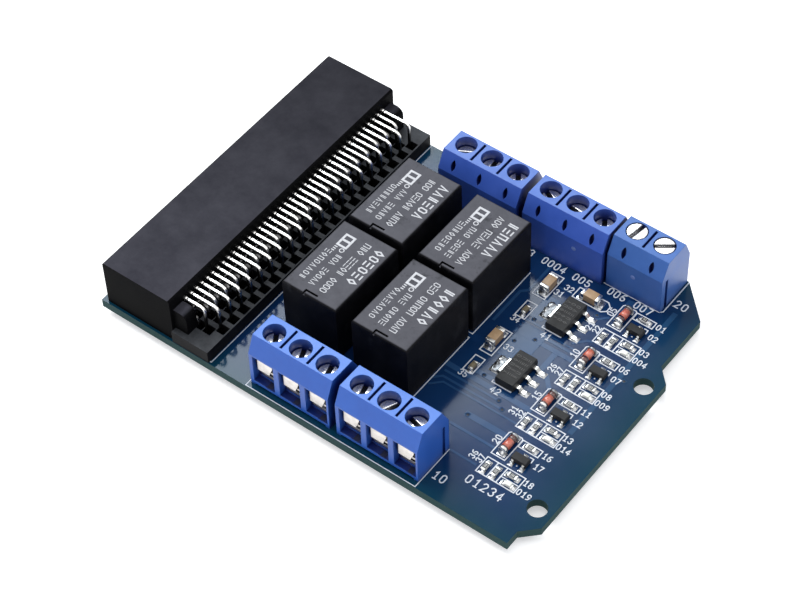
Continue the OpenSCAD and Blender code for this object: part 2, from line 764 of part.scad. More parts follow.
// Capacitors: [x, y, turn, length, width, height]
capacitor_list = [
    [55.3, 43.5, 90, 3.2, 1.6, 1.5], [62.3, 45.0, 0, 3.2, 1.6, 1.5], [54.85, 29.7, 90, 3.2, 1.6, 1.5],
    [55.3, 37.1, 90, 1.6, 0.82, 0.8], [55.25, 23.3, 90, 1.6, 0.82, 0.8]
];
capacitor_end = 0.17;   // share of the length that each end cap takes

module capacitors() {
    color([0.72, 0.56, 0.38])
    for (c = capacitor_list)
        on_board(c[0], c[1]) rotate([0, 0, c[2]]) chip(c[3], c[4], c[5], c[3] * capacitor_end);
}

module leds() {
    color([0.93, 0.93, 0.88])
    for (k = [0 : 3])
        at_channel(k, lamp_at[0], lamp_at[1])
            chip(small_chip[0], small_chip[1], lamp_h, small_chip[2]);
}

// ---------------------------------------------------------------- nodes

pcb();
edge_connector_housing();
pin_guide();
contacts_upper_short();
contacts_upper_long();
contacts_lower_short();
contacts_lower_long();
relay_case_1();
relay_case_2();
relay_case_3();
relay_case_4();
relay_base_1();
relay_base_2();
relay_base_3();
relay_base_4();
relay_pins();
terminal_body_1();
terminal_body_2();
terminal_body_3();
terminal_body_4();
terminal_body_5();
terminal_frames_1();
terminal_frames_2();
terminal_frames_3();
terminal_frames_4();
terminal_frames_5();
wire_clamp(1);  // wire_clamp_1
wire_clamp(2);  // wire_clamp_2
wire_clamp(3);  // wire_clamp_3
wire_clamp(4);  // wire_clamp_4
wire_clamp(5);  // wire_clamp_5
wire_clamp(6);  // wire_clamp_6
wire_clamp(7);  // wire_clamp_7
wire_clamp(8);  // wire_clamp_8
wire_clamp(9);  // wire_clamp_9
wire_clamp(10);  // wire_clamp_10
wire_clamp(11);  // wire_clamp_11
wire_clamp(12);  // wire_clamp_12
wire_clamp(13);  // wire_clamp_13
wire_clamp(14);  // wire_clamp_14
clamp_screw(1);  // clamp_screw_1
clamp_screw(2);  // clamp_screw_2
clamp_screw(3);  // clamp_screw_3
clamp_screw(4);  // clamp_screw_4
clamp_screw(5);  // clamp_screw_5
clamp_screw(6);  // clamp_screw_6
clamp_screw(7);  // clamp_screw_7
clamp_screw(8);  // clamp_screw_8
clamp_screw(9);  // clamp_screw_9
clamp_screw(10);  // clamp_screw_10
clamp_screw(11);  // clamp_screw_11
clamp_screw(12);  // clamp_screw_12
clamp_screw(13);  // clamp_screw_13
clamp_screw(14);  // clamp_screw_14
regulators();
transistors();
diodes();
resistors();
capacitors();
leds();
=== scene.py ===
"""Looks of the relay module board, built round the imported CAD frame.

Lengths in the tables below are millimetres, measured on the board as in the CAD source:
x from its left edge, y from its front edge and z up from its component side.
"""
import math
import random

import bmesh
import bpy
from mathutils import Matrix, Vector, noise


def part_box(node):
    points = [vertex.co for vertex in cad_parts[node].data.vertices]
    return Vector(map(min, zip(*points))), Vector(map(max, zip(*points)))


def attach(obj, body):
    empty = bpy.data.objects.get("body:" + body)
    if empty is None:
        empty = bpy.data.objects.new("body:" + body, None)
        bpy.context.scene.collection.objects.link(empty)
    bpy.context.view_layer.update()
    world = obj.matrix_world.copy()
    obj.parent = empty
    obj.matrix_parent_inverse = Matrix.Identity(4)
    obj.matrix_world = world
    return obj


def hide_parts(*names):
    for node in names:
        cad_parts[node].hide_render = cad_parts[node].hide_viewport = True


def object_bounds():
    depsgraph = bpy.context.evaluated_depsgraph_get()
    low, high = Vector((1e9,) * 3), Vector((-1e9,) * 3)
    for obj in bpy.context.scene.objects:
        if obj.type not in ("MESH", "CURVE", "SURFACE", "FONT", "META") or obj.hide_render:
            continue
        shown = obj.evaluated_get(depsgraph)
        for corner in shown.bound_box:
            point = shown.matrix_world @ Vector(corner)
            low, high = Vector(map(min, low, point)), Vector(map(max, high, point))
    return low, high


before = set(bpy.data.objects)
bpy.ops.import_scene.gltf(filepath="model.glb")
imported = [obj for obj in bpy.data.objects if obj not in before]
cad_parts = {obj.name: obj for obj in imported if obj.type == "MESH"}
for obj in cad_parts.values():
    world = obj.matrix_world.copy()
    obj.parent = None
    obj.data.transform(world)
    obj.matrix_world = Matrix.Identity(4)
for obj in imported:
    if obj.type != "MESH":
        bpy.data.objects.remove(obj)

MM = 0.001
CAD_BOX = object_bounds()
BOARD_LOW, BOARD_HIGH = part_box("pcb")
rng = random.Random(7)
scene = bpy.context.scene


def at(x, y, z=0.0):
    """A point of the board in the row frame, in metres."""
    return Vector((BOARD_LOW.x + x * MM, BOARD_LOW.y + y * MM, BOARD_HIGH.z + z * MM))


def on_board(point):
    """The other way round: a point of the row frame as (x, y, z) on the board, in mm."""
    return ((point.x - BOARD_LOW.x) / MM, (point.y - BOARD_LOW.y) / MM,
            (point.z - BOARD_HIGH.z) / MM)


def corners(node):
    """A node's lowest and highest corner on the board, in mm."""
    return [on_board(point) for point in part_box(node)]


def centre(node):
    """A node's middle in plan and its top, on the board, in mm."""
    low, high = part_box(node)
    x, y, _ = on_board((low + high) / 2)
    return x, y, on_board(high)[2]


def add(name, data):
    """Puts a new object with this data in the scene."""
    new = bpy.data.objects.new(name, data)
    scene.collection.objects.link(new)
    return new


# ------------------------------------------------------------------ materials

def link(tree, out, into):
    tree.links.new(out, into)


def node(tree, kind, **values):
    n = tree.nodes.new("ShaderNode" + kind)
    for key, value in values.items():
        if key in n.inputs:
            n.inputs[key].default_value = value
        else:
            setattr(n, key, value)
    return n


def grain(tree, scale, detail=4.0, rough=0.55, stretch=(1, 1, 1), shift=0.0):
    """A noise in the row frame; scale counts features in a metre."""
    where = node(tree, "TexCoord")
    place = node(tree, "Mapping")
    place.inputs["Scale"].default_value = stretch
    place.inputs["Location"].default_value = (shift, shift * 0.7, shift * 1.3)
    n = node(tree, "TexNoise", Scale=scale, Detail=detail, Roughness=rough)
    link(tree, where.outputs["Object"], place.inputs["Vector"])
    link(tree, place.outputs["Vector"], n.inputs["Vector"])
    return n.outputs["Fac"]


def feed(tree, value, socket):
    """Links the value to the socket if it is a socket, and otherwise sets a number or colour."""
    if isinstance(value, bpy.types.NodeSocket):
        link(tree, value, socket)
    else:
        socket.default_value = (*value, 1) if isinstance(value, tuple) else value


def span(tree, value, low, high, to_low, to_high):
    n = node(tree, "MapRange", **{"From Min": low, "From Max": high, "To Min": to_low,
                                  "To Max": to_high})
    link(tree, value, n.inputs["Value"])
    return n.outputs["Result"]


def blend_colour(tree, share, a, b):
    """Colour a where share is 0 and b where it is 1; each is a colour or a socket."""
    n = tree.nodes.new("ShaderNodeMix")
    n.data_type = "RGBA"
    link(tree, share, n.inputs[0])
    feed(tree, a, n.inputs[6])
    feed(tree, b, n.inputs[7])
    return n.outputs[2]


def shade(tree, value, low, high, a, b, most=1.0):
    """Colour a where value is low, and b, to the share most, where it is high."""
    return blend_colour(tree, span(tree, value, low, high, 0, most), a, b)


def arithmetic(tree, operation, a, b):
    n = node(tree, "Math", operation=operation)
    feed(tree, a, n.inputs[0])
    feed(tree, b, n.inputs[1])
    return n.outputs["Value"]


def facing_up(tree, low, high, under=0.0, over=1.0):
    """over on faces whose normal's upward part is more than high, under where it is less
    than low."""
    geometry = node(tree, "NewGeometry")
    split = node(tree, "SeparateXYZ")
    link(tree, geometry.outputs["Normal"], split.inputs["Vector"])
    return span(tree, split.outputs["Z"], low, high, under, over)


def place_along(tree, *axes):
    """The shaded point's coordinates along these axes of the row frame, in metres."""
    split = node(tree, "SeparateXYZ")
    link(tree, node(tree, "TexCoord").outputs["Object"], split.inputs["Vector"])
    return [split.outputs[axis] for axis in axes]


def finish_surface(name, rough, metal=0.0, coat=0.0, ior=1.5, level=0.5):
    """A material with its constant values set, and its tree and shader."""
    m = bpy.data.materials.new(name)
    m.use_nodes = True
    tree = m.node_tree
    shader = tree.nodes["Principled BSDF"]
    for key, value in (("Roughness", rough), ("Metallic", metal), ("Coat Weight", coat),
                       ("Coat Roughness", 0.1), ("IOR", ior), ("Specular IOR Level", level)):
        shader.inputs[key].default_value = value
    return m, tree, shader


def relief(tree, shader, height, depth, edge):
    """Bump of that depth in mm from a height socket, over edges rounded by edge mm."""
    bump = node(tree, "Bump", Strength=1.0, Distance=depth * MM)
    link(tree, height, bump.inputs["Height"])
    soft = node(tree, "Bevel", samples=6, Radius=edge * MM)
    link(tree, soft.outputs["Normal"], bump.inputs["Normal"])
    link(tree, bump.outputs["Normal"], shader.inputs["Normal"])


def moulded(name, colour, pale, rough, top, rough_vary=0.08, grain_mm=0.12, depth=0.004,
            edge=0.12, cloud_mm=6.0, level=0.5, ior=1.5, smudge=None, deep=None, painted_top_falloff=0.0,
            sill=None):
    """Moulded plastic: cloudy colour, fine grain, soft edges, and top faces painted in two tones of
    their own, painted light from above. smudge is the colour of wiped patches, deep the painted
    shade down in holes and slits, sill the painted shade on low ledges. painted_top_falloff is how
    much the painted top falls back towards the wall colour at the back, a painted falloff of its sheen."""
    m, tree, shader = finish_surface(name, rough, level=level, ior=ior)
    cloud = grain(tree, 1000 / cloud_mm, 5.0, 0.62)
    colours = shade(tree, cloud, 0.35, 0.7, colour, pale)
    fine = grain(tree, 1000 / grain_mm, 3.0, 0.6)
    roughness = span(tree, cloud, 0.3, 0.7, rough - rough_vary, rough + rough_vary)
    # painted light from above: faces that look up take the top tones instead of the walls' colour
    up = facing_up(tree, 0.75, 0.98)
    scuffs = grain(tree, 1000 / (cloud_mm * 0.6), 6.0, 0.7, shift=0.37)
    painted_tops = shade(tree, scuffs, 0.3, 0.75, *top)
    # painted falloff of the sheen: the painted top goes back towards the wall colour at the back
    if painted_top_falloff:
        (y,) = place_along(tree, "Y")
        painted_tops = shade(tree, y, -28 * MM, 28 * MM, painted_tops, colour, painted_top_falloff)
    colours = blend_colour(tree, up, colours, painted_tops)
    # painted shade on low ledges that look up
    if sill:
        (z,) = place_along(tree, "Z")
        low = span(tree, z, 7 * MM, 8 * MM, 1, 0)
        shaded_ledge = arithmetic(tree, "MULTIPLY", low, facing_up(tree, 0.25, 0.55))
        colours = blend_colour(tree, shaded_ledge, colours, sill)
    if smudge:
        wiped = grain(tree, 260, 5.0, 0.7, (1, 1, 0.6), shift=0.61)
        colours = shade(tree, wiped, 0.58, 0.72, colours, smudge, 0.8)
    # painted shade in holes and slits, from ambient occlusion
    if deep:
        hollow = node(tree, "AmbientOcclusion", samples=8, Distance=3.2 * MM)
        colours = shade(tree, hollow.outputs["AO"], 0.25, 0.75, deep, colours)
    link(tree, colours, shader.inputs["Base Color"])
    link(tree, roughness, shader.inputs["Roughness"])
    relief(tree, shader, fine, depth, edge)
    return m


def metal(name, colour, dark, rough, rough_vary=0.1, patch_mm=0.8, depth=0.003, edge=0.06,
          streak=(1, 1, 1), dull=None):
    """Plated metal with dull patches and soft edges. dull is (colour, low, high): painted shade; the
    metal is painted that colour below the height low, and keeps its own colour above high, both in mm."""
    m, tree, shader = finish_surface(name, rough, metal=1.0)
    patch = grain(tree, 1000 / patch_mm, 5.0, 0.6, streak)
    colours = shade(tree, patch, 0.35, 0.72, colour, dark)
    # painted shade: darker towards the bottom
    if dull:
        shade_colour, low, high = dull
        (z,) = place_along(tree, "Z")
        colours = shade(tree, z, low * MM, high * MM, shade_colour, colours)
    link(tree, colours, shader.inputs["Base Color"])
    link(tree, span(tree, patch, 0.3, 0.7, rough - rough_vary, rough + rough_vary),
         shader.inputs["Roughness"])
    relief(tree, shader, grain(tree, 1000 / (patch_mm * 0.35), 3.0), depth, edge)
    return m


def solder_mask(name, deep, mid, painted_rim_reflection):
    """Glossy blue mask: deep in the middle of the board and a greener tone towards its rim, which is a
    painted reflection, with the weave of the laminate just showing through."""
    m, tree, shader = finish_surface(name, 0.2, level=0.16)
    x, y = place_along(tree, "X", "Y")
    half_x = (BOARD_HIGH.x - BOARD_LOW.x) / 2
    half_y = (BOARD_HIGH.y - BOARD_LOW.y) / 2
    rim_x = span(tree, arithmetic(tree, "ABSOLUTE", x, 0.0), half_x - 9 * MM, half_x, 0, 1)
    rim_y = span(tree, arithmetic(tree, "ABSOLUTE", y, 0.0), half_y - 7 * MM, half_y, 0, 1)
    rim = arithmetic(tree, "MAXIMUM", rim_x, rim_y)
    cloud = grain(tree, 90, 4.0)
    body = shade(tree, cloud, 0.35, 0.7, deep, mid)
    # painted reflection: the greener tone towards the rim
    colour = blend_colour(tree, rim, body, painted_rim_reflection)
    weave = node(tree, "TexWave", Scale=900.0, Distortion=0.4)
    link(tree, node(tree, "TexCoord").outputs["Object"], weave.inputs["Vector"])
    woven = shade(tree, weave.outputs["Fac"], 0.0, 1.0, colour, mid, 0.06)
    # cut faces show the laminate: dark green glass with pale fibres
    flat = arithmetic(tree, "MAXIMUM", facing_up(tree, 0.3, 0.6),
                      facing_up(tree, -0.6, -0.3, 1.0, 0.0))
    glass = blend_colour(tree, grain(tree, 2500, 2.0, stretch=(1, 1, 6)),
                         (0.008, 0.034, 0.040), (0.040, 0.088, 0.084))
    link(tree, blend_colour(tree, flat, glass, woven), shader.inputs["Base Color"])
    gloss = span(tree, cloud, 0.3, 0.7, 0.08, 0.15)
    dull = arithmetic(tree, "MULTIPLY", arithmetic(tree, "SUBTRACT", 1.0, flat), 0.6)
    link(tree, arithmetic(tree, "ADD", gloss, dull), shader.inputs["Roughness"])
    relief(tree, shader, grain(tree, 700, 3.0), 0.006, 0.05)
    return m


def plain(name, colour, pale, rough, patch_mm, coat=0.0):
    """Paint, print, ceramic or glass: two tones in patches, nearly smooth."""
    m, tree, shader = finish_surface(name, rough, coat=coat)
    patch = grain(tree, 1000 / patch_mm, 4.0)
    link(tree, shade(tree, patch, 0.3, 0.7, colour, pale), shader.inputs["Base Color"])
    link(tree, span(tree, patch, 0.3, 0.7, rough - 0.05, rough + 0.08), shader.inputs["Roughness"])
    relief(tree, shader, grain(tree, 4000 / patch_mm, 3.0), 0.002, 0.03)
    return m


# the third colour of each mask is the painted reflection towards the rim
MASK = solder_mask("solder_mask", (0.003, 0.020, 0.078), (0.005, 0.030, 0.100), (0.003, 0.037, 0.067))
TRACE = solder_mask("mask_over_copper", (0.013, 0.050, 0.137), (0.018, 0.062, 0.160),
                    (0.014, 0.066, 0.11))
PRINT = plain("white_print", (0.72, 0.75, 0.80), (0.58, 0.62, 0.68), 0.55, patch_mm=0.5)
# the tops of the connector, the guide and the relay cases are painted lighter than their walls, a painted
# sheen
CONNECTOR = moulded("connector_black", (0.002, 0.002, 0.002), (0.005, 0.005, 0.006), 0.55,
                    ((0.034, 0.034, 0.044), (0.060, 0.060, 0.074)),
                    # its top is painted darker towards the back, a painted falloff of the sheen
                    grain_mm=0.18, depth=0.006, edge=0.1, cloud_mm=9.0, ior=1.08, painted_top_falloff=0.45)
GUIDE = moulded("guide_black", (0.004, 0.004, 0.005), (0.010, 0.010, 0.011), 0.5,
                ((0.030, 0.032, 0.036), (0.070, 0.075, 0.083)),
                edge=0.08, grain_mm=0.18, depth=0.005, cloud_mm=4.0, ior=1.15)
RELAY = moulded("relay_case", (0.003, 0.003, 0.004), (0.008, 0.008, 0.010), 0.5,
                ((0.074, 0.075, 0.088), (0.100, 0.101, 0.118)),
                grain_mm=0.1, edge=0.14, cloud_mm=3.0, level=0.08, smudge=(0.022, 0.023, 0.026))
RELAY_PRINT = plain("lid_print_white", (0.60, 0.61, 0.64), (0.48, 0.49, 0.52), 0.6, patch_mm=0.4)
# the blocks differ a little in tone: two tones of the walls, then two of the tops, which are painted
# lighter, a painted sheen
BLUE_TONES = {
    "front": ((0.021, 0.104, 0.48), (0.027, 0.122, 0.53),
              ((0.052, 0.165, 0.57), (0.068, 0.19, 0.62))),
    "back": ((0.038, 0.098, 0.46), (0.046, 0.115, 0.52),
             ((0.060, 0.140, 0.47), (0.074, 0.165, 0.53))),
    "power": ((0.038, 0.120, 0.40), (0.050, 0.145, 0.46),
              ((0.042, 0.125, 0.40), (0.058, 0.155, 0.45))),
}
# deep and sill are painted shade: in the holes and slits, and on the low ledges
BLUES = {key: moulded("terminal_blue_" + key, wall, pale, 0.36, tops, rough_vary=0.05, grain_mm=0.5,
                      depth=0.003, edge=0.13, cloud_mm=5.0, level=0.45,
                      deep=(0.003, 0.010, 0.10), sill=(0.008, 0.028, 0.17))
         for key, (wall, pale, tops) in BLUE_TONES.items()}
GATE_MARK = plain("gate_mark", (0.10, 0.18, 0.50), (0.20, 0.28, 0.60), 0.5, patch_mm=0.4)
TIN = metal("bright_tin", (0.80, 0.80, 0.78), (0.50, 0.50, 0.48), 0.26, depth=0.0015,
            streak=(0.3, 1, 1))
# painted shade: the upper tails are painted near black below 8.2 mm
TAILS = metal("tail_tin", (0.92, 0.92, 0.90), (0.74, 0.73, 0.71), 0.32, depth=0.001, edge=0.2,
              streak=(0.3, 1, 1), dull=((0.03, 0.03, 0.03), 8.2, 9.9))
# a darker copy of the tail tin for the lower contacts: painted shade
TAILS_SHADED = metal("tail_tin_shaded", (0.20, 0.20, 0.20), (0.07, 0.07, 0.07), 0.3, depth=0.001, edge=0.2,
                  streak=(0.3, 1, 1))
TAB = metal("heat_tab", (0.30, 0.31, 0.32), (0.05, 0.05, 0.06), 0.34, patch_mm=0.7, depth=0.001)
FRAME_METAL = metal("frame_tin", (0.80, 0.79, 0.77), (0.5, 0.49, 0.47), 0.34)
CLAMP = metal("clamp_nickel", (0.80, 0.76, 0.72), (0.62, 0.58, 0.53), 0.4, patch_mm=1.5, depth=0.001)
SCREW = metal("screw_nickel", (0.88, 0.88, 0.88), (0.62, 0.62, 0.62), 0.22, rough_vary=0.06,
              patch_mm=1.6, depth=0.0008, edge=0.08, streak=(1, 3, 1))
# painted shade: a dark sheet on the floor of each screw's slot
SLOT_SHADE = metal("screw_slot_shade", (0.10, 0.10, 0.11), (0.04, 0.04, 0.045), 0.45, patch_mm=0.4)
SOLDER = metal("solder", (0.70, 0.71, 0.72), (0.12, 0.13, 0.14), 0.26, patch_mm=0.5, depth=0.0012)
# darker solder for the regulators' tab pads
SOLDER_DARK = metal("solder_dark", (0.40, 0.41, 0.42), (0.03, 0.035, 0.04), 0.26, patch_mm=0.4,
                    depth=0.0012)
# painted shade in the notches of the contacts
NOTCH_SHADE = plain("painted_shade_contact_notch", (0.01, 0.01, 0.01), (0.02, 0.02, 0.02), 0.6, patch_mm=0.3)
# painted shade in the notches of the wire entries' sills
HOLLOW_SHADE = plain("entry_hollow_shade", (0.002, 0.004, 0.025), (0.003, 0.007, 0.04), 0.6, patch_mm=0.5)
VIA = plain("via_hole", (0.001, 0.004, 0.012), (0.002, 0.008, 0.02), 0.5, patch_mm=0.3)
# the package tops are painted darker than their walls, painted shade
PACKAGE = moulded("package_epoxy", (0.012, 0.012, 0.013), (0.022, 0.022, 0.022), 0.45,
                  ((0.007, 0.007, 0.008), (0.012, 0.012, 0.012)),
                  grain_mm=0.08, depth=0.005, edge=0.05, cloud_mm=1.5, level=0.25)
PACKAGE_MARK = plain("package_mark", (0.07, 0.07, 0.07), (0.05, 0.05, 0.05), 0.55, patch_mm=0.4)
ALUMINA = plain("alumina", (0.72, 0.72, 0.70), (0.62, 0.62, 0.60), 0.5, patch_mm=0.3)
CHIP_FILM = plain("chip_film", (0.012, 0.012, 0.013), (0.03, 0.03, 0.032), 0.25, patch_mm=0.5, coat=0.3)
CHIP_MARK = plain("chip_mark", (0.60, 0.60, 0.58), (0.5, 0.5, 0.48), 0.5, patch_mm=0.4)
CERAMIC_DARK = plain("capacitor_ceramic_dark", (0.10, 0.085, 0.05), (0.22, 0.18, 0.11), 0.4,
                     patch_mm=0.5)
CERAMIC = plain("capacitor_ceramic", (0.36, 0.23, 0.12), (0.47, 0.32, 0.19), 0.4, patch_mm=0.8)
GLASS_RED = plain("diode_glass", (0.42, 0.055, 0.025), (0.72, 0.20, 0.12), 0.12, patch_mm=0.8, coat=1.0)
GLASS_DARK = plain("diode_glass_ends", (0.035, 0.006, 0.005), (0.12, 0.03, 0.02), 0.12, patch_mm=0.6,
                   coat=1.0)
LENS = plain("lamp_lens", (0.80, 0.81, 0.72), (0.88, 0.88, 0.82), 0.2, patch_mm=0.8, coat=0.6)


# ------------------------------------------------------------------ mesh building

STRIP_LEVELS = 7        # heights that strips take in turn
STRIP_STEP = 0.0025     # mm from one of these heights to the next
FILLET_STEPS = 7        # rows of a solder meniscus each way


def stand(part, middle, turn=0.0, spin=Matrix.Identity(4)):
    """Moves a shape built round the origin to its place on the board, turned about Z."""
    place = Matrix.Translation(at(*middle)) @ Matrix.Rotation(math.radians(turn), 4, "Z") @ spin
    bmesh.ops.transform(part, matrix=place, verts=part.verts)


def round_off(part, edges, bevel):
    bmesh.ops.bevel(part, geom=edges, offset=bevel * MM, segments=2, profile=0.6, affect="EDGES")


def uneven():
    """Where in the noise the next lump takes its form from."""
    return Vector((rng.random() * 50, rng.random() * 50, 0))


class Pieces:
    """Collects closed shapes of several materials in one mesh that rides on one body."""

    def __init__(self, name, *materials):
        self.name = name
        self.mesh = bmesh.new()
        self.materials = list(materials)
        self.layer = 0

    def _take(self, part, material, smooth):
        """Adds a finished bmesh."""
        index = self.materials.index(material)
        offset = [self.mesh.verts.new(v.co) for v in part.verts]
        part.verts.index_update()
        for face in part.faces:
            new = self.mesh.faces.new([offset[v.index] for v in face.verts])
            new.material_index = index
            new.smooth = smooth
        part.free()

    def box(self, middle, size, material, turn=0.0, bevel=0.0, taper=0.0):
        """Box of size (x, y, z) mm standing with its base centre at middle, turned about Z.
        taper pulls each upper side in by that many mm."""
        part = bmesh.new()
        bmesh.ops.create_cube(part, size=1.0)
        for v in part.verts:
            shrink = taper if v.co.z > 0 else 0.0
            v.co.x *= (size[0] - 2 * shrink) * MM
            v.co.y *= (size[1] - 2 * shrink) * MM
            v.co.z = (v.co.z + 0.5) * size[2] * MM
        if bevel:
            round_off(part, part.edges[:], bevel)
        stand(part, middle, turn)
        self._take(part, material, bool(bevel))

    def profile(self, outline, width, middle, material, turn, bevel):
        """Outline in (along, up) mm, extruded width mm sideways about middle, turned about Z."""
        part = bmesh.new()
        low = [part.verts.new(Vector((a, -width / 2, b)) * MM) for a, b in outline]
        high = [part.verts.new(Vector((a, width / 2, b)) * MM) for a, b in outline]
        count = len(outline)
        part.faces.new(low)
        part.faces.new(high[::-1])
        for i in range(count):
            j = (i + 1) % count
            part.faces.new([low[i], high[i], high[j], low[j]])
        bmesh.ops.recalc_face_normals(part, faces=part.faces)
        round_off(part, part.edges[:], bevel)
        stand(part, middle, turn)
        self._take(part, material, False)

    def turned(self, rings, middle, material, sides, axis="Z"):
        """Closed solid of revolution about Z or Y: rings are (radius, height) mm from one end
        to the other."""
        part = bmesh.new()
        circles = []
        for radius, height in rings:
            turns = (2 * math.pi * i / sides for i in range(sides))
            circles.append([part.verts.new(Vector((radius * math.cos(a), radius * math.sin(a),
                                                   height)) * MM) for a in turns])
        for a, b in zip(circles, circles[1:]):
            for i in range(sides):
                j = (i + 1) % sides
                part.faces.new([a[i], a[j], b[j], b[i]])
        part.faces.new(circles[0][::-1])
        part.faces.new(circles[-1])
        stand(part, middle, 0.0, Matrix.Rotation(math.radians(-90 if axis == "Y" else 0), 4, "X"))
        self._take(part, material, True)

    def ribbon(self, points, width, material, base, height, closed=False):
        """Flat strip along a line of (x, y) points, with mitred corners and square ends. Strips
        that follow each other differ a little in height, so that none lies in another's face."""
        part = bmesh.new()
        self.layer = (self.layer + 1) % STRIP_LEVELS
        height += STRIP_STEP * self.layer
        line = [Vector(p).to_2d() for p in points]
        count = len(line)
        ends = line[1:] + line[:1] if closed else line[1:]
        ways = [(b - a).normalized() for a, b in zip(line, ends)]
        left, right = [], []
        for i, p in enumerate(line):
            d1 = ways[i - 1] if i or closed else ways[0]
            d2 = ways[i] if i < len(ways) else ways[-1]
            n1 = Vector((-d1.y, d1.x))
            n2 = Vector((-d2.y, d2.x))
            side = (n1 + n2).normalized()
            reach = width / 2 / max(0.4, side.dot(n1))
            ahead = Vector((0, 0))
            if not closed and i == 0:
                ahead = -d1 * width / 2
            if not closed and i == count - 1:
                ahead = d2 * width / 2
            left.append(p + ahead + side * reach)
            right.append(p + ahead - side * reach)
        l0, r0, l1, r1 = ([part.verts.new(at(q.x, q.y, z)) for q in side]
                          for z in (base, base + height) for side in (left, right))
        for i in range(count if closed else count - 1):
            j = (i + 1) % count
            part.faces.new([l1[i], r1[i], r1[j], l1[j]])
            part.faces.new([l0[j], r0[j], r0[i], l0[i]])
            part.faces.new([l0[i], l1[i], l1[j], l0[j]])
            part.faces.new([r0[j], r1[j], r1[i], r0[i]])
        if not closed:
            part.faces.new([l0[0], r0[0], r1[0], l1[0]])
            part.faces.new([r0[-1], l0[-1], l1[-1], r1[-1]])
        bmesh.ops.recalc_face_normals(part, faces=part.faces)
        self._take(part, material, False)

    def prism(self, outline, height, middle, material, turn, bevel):
        """Outline in (x, y) mm, standing height mm on middle, turned about Z, with its upper
        edges rounded off."""
        part = bmesh.new()
        low = [part.verts.new(Vector((a, b, 0)) * MM) for a, b in outline]
        high = [part.verts.new(Vector((a, b, height)) * MM) for a, b in outline]
        part.faces.new(low[::-1])
        part.faces.new(high)
        for i in range(len(outline)):
            j = (i + 1) % len(outline)
            part.faces.new([low[i], low[j], high[j], high[i]])
        bmesh.ops.recalc_face_normals(part, faces=part.faces)
        upper = [e for e in part.edges if all(v.co.z > height * MM / 2 for v in e.verts)]
        round_off(part, upper, bevel)
        stand(part, middle, turn)
        self._take(part, material, False)

    def blob(self, middle, size, material, lumps=0.15):
        """Rounded, slightly uneven lump, flat below, such as a drop of solder."""
        part = bmesh.new()
        bmesh.ops.create_icosphere(part, subdivisions=3, radius=0.5)
        seed = uneven()
        for v in part.verts:
            v.co *= 1 + lumps * noise.noise(v.co * 2.5 + seed)
            v.co = Vector((v.co.x * size[0], v.co.y * size[1], max(0.0, v.co.z) * 2 * size[2])) * MM
        stand(part, middle)
        bmesh.ops.recalc_face_normals(part, faces=part.faces)
        self._take(part, material, True)

    def fillet(self, middle, width, length, height, material, turn=0.0):
        """Solder meniscus: highest at the part, hollow slope down to the pad, rounded plan.
        It runs from middle along the turned X axis."""
        part = bmesh.new()
        seed = uneven()
        steps = FILLET_STEPS
        top, base = [], []
        for i in range(steps + 1):
            t = i / steps
            half = width / 2 * math.sqrt(max(0.02, 1 - t ** 3))
            rise = 0.06 + (height - 0.06) * (1 - t) ** 2.2
            row_top, row_base = [], []
            for j in range(steps + 1):
                s = 2 * j / steps - 1
                lump = 0.05 * noise.noise(Vector((t * 3, s * 2, 0)) + seed)
                z = (rise + lump * height) * (1 - abs(s) ** 3 * 0.75)
                row_top.append(part.verts.new(Vector((t * length, s * half, max(0.02, z))) * MM))
                row_base.append(part.verts.new(Vector((t * length, s * half, 0)) * MM))
            top.append(row_top)
            base.append(row_base)
        for i in range(steps):
            for j in range(steps):
                part.faces.new([top[i][j], top[i + 1][j], top[i + 1][j + 1], top[i][j + 1]])
                part.faces.new([base[i][j + 1], base[i + 1][j + 1], base[i + 1][j], base[i][j]])
            for j, flip in ((0, False), (steps, True)):
                quad = [top[i][j], base[i][j], base[i + 1][j], top[i + 1][j]]
                part.faces.new(quad[::-1] if flip else quad)
        for i, flip in ((0, True), (steps, False)):
            for j in range(steps):
                quad = [top[i][j], base[i][j], base[i][j + 1], top[i][j + 1]]
                part.faces.new(quad[::-1] if flip else quad)
        stand(part, middle, turn)
        bmesh.ops.recalc_face_normals(part, faces=part.faces)
        self._take(part, material, True)

    def done(self, body="board", replaces=()):
        """Makes the object, rides it on its body and hides the CAD parts that it replaces."""
        data = bpy.data.meshes.new(self.name)
        for m in self.materials:
            data.materials.append(m)
        self.mesh.to_mesh(data)
        self.mesh.free()
        piece = add(self.name, data)
        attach(piece, body)
        if replaces:
            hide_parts(*replaces)


def dress(material, *names):
    """Gives CAD nodes their material; a name may end in * for a numbered set."""
    for name in names:
        for key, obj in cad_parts.items():
            if key == name or (name.endswith("*") and key.startswith(name[:-1])):
                obj.data.materials.clear()
                obj.data.materials.append(material)


dress(MASK, "pcb")
dress(CONNECTOR, "edge_connector_housing")
dress(GUIDE, "pin_guide")
dress(TAILS, "contacts_upper_*")
dress(TAILS_SHADED, "contacts_lower_*")
dress(TIN, "relay_pins")
dress(RELAY, "relay_case_*")
dress(PACKAGE, "relay_base_*")
for number, tone in enumerate(("back", "back", "front", "front", "power"), 1):
    dress(BLUES[tone], "terminal_body_%d" % number)
dress(FRAME_METAL, "terminal_frames_*")
dress(CLAMP, "wire_clamp_*")
dress(SCREW, "clamp_screw_*")


# ------------------------------------------------------------------ where the parts stand

CHANNELS = 4
CHANNEL_PITCH = 10.18
CHANNEL_X = 71.5
CHANNEL_Y = 13.0
REGULATORS = [(61.4, 26.1), (61.4, 39.35)]
# x, y and turn of the capacitors
LARGE_CAPACITORS = [(55.3, 43.5, 90), (62.3, 45.0, 0), (54.85, 29.7, 90)]
SMALL_CAPACITORS = [(55.3, 37.1, 90), (55.25, 23.3, 90)]
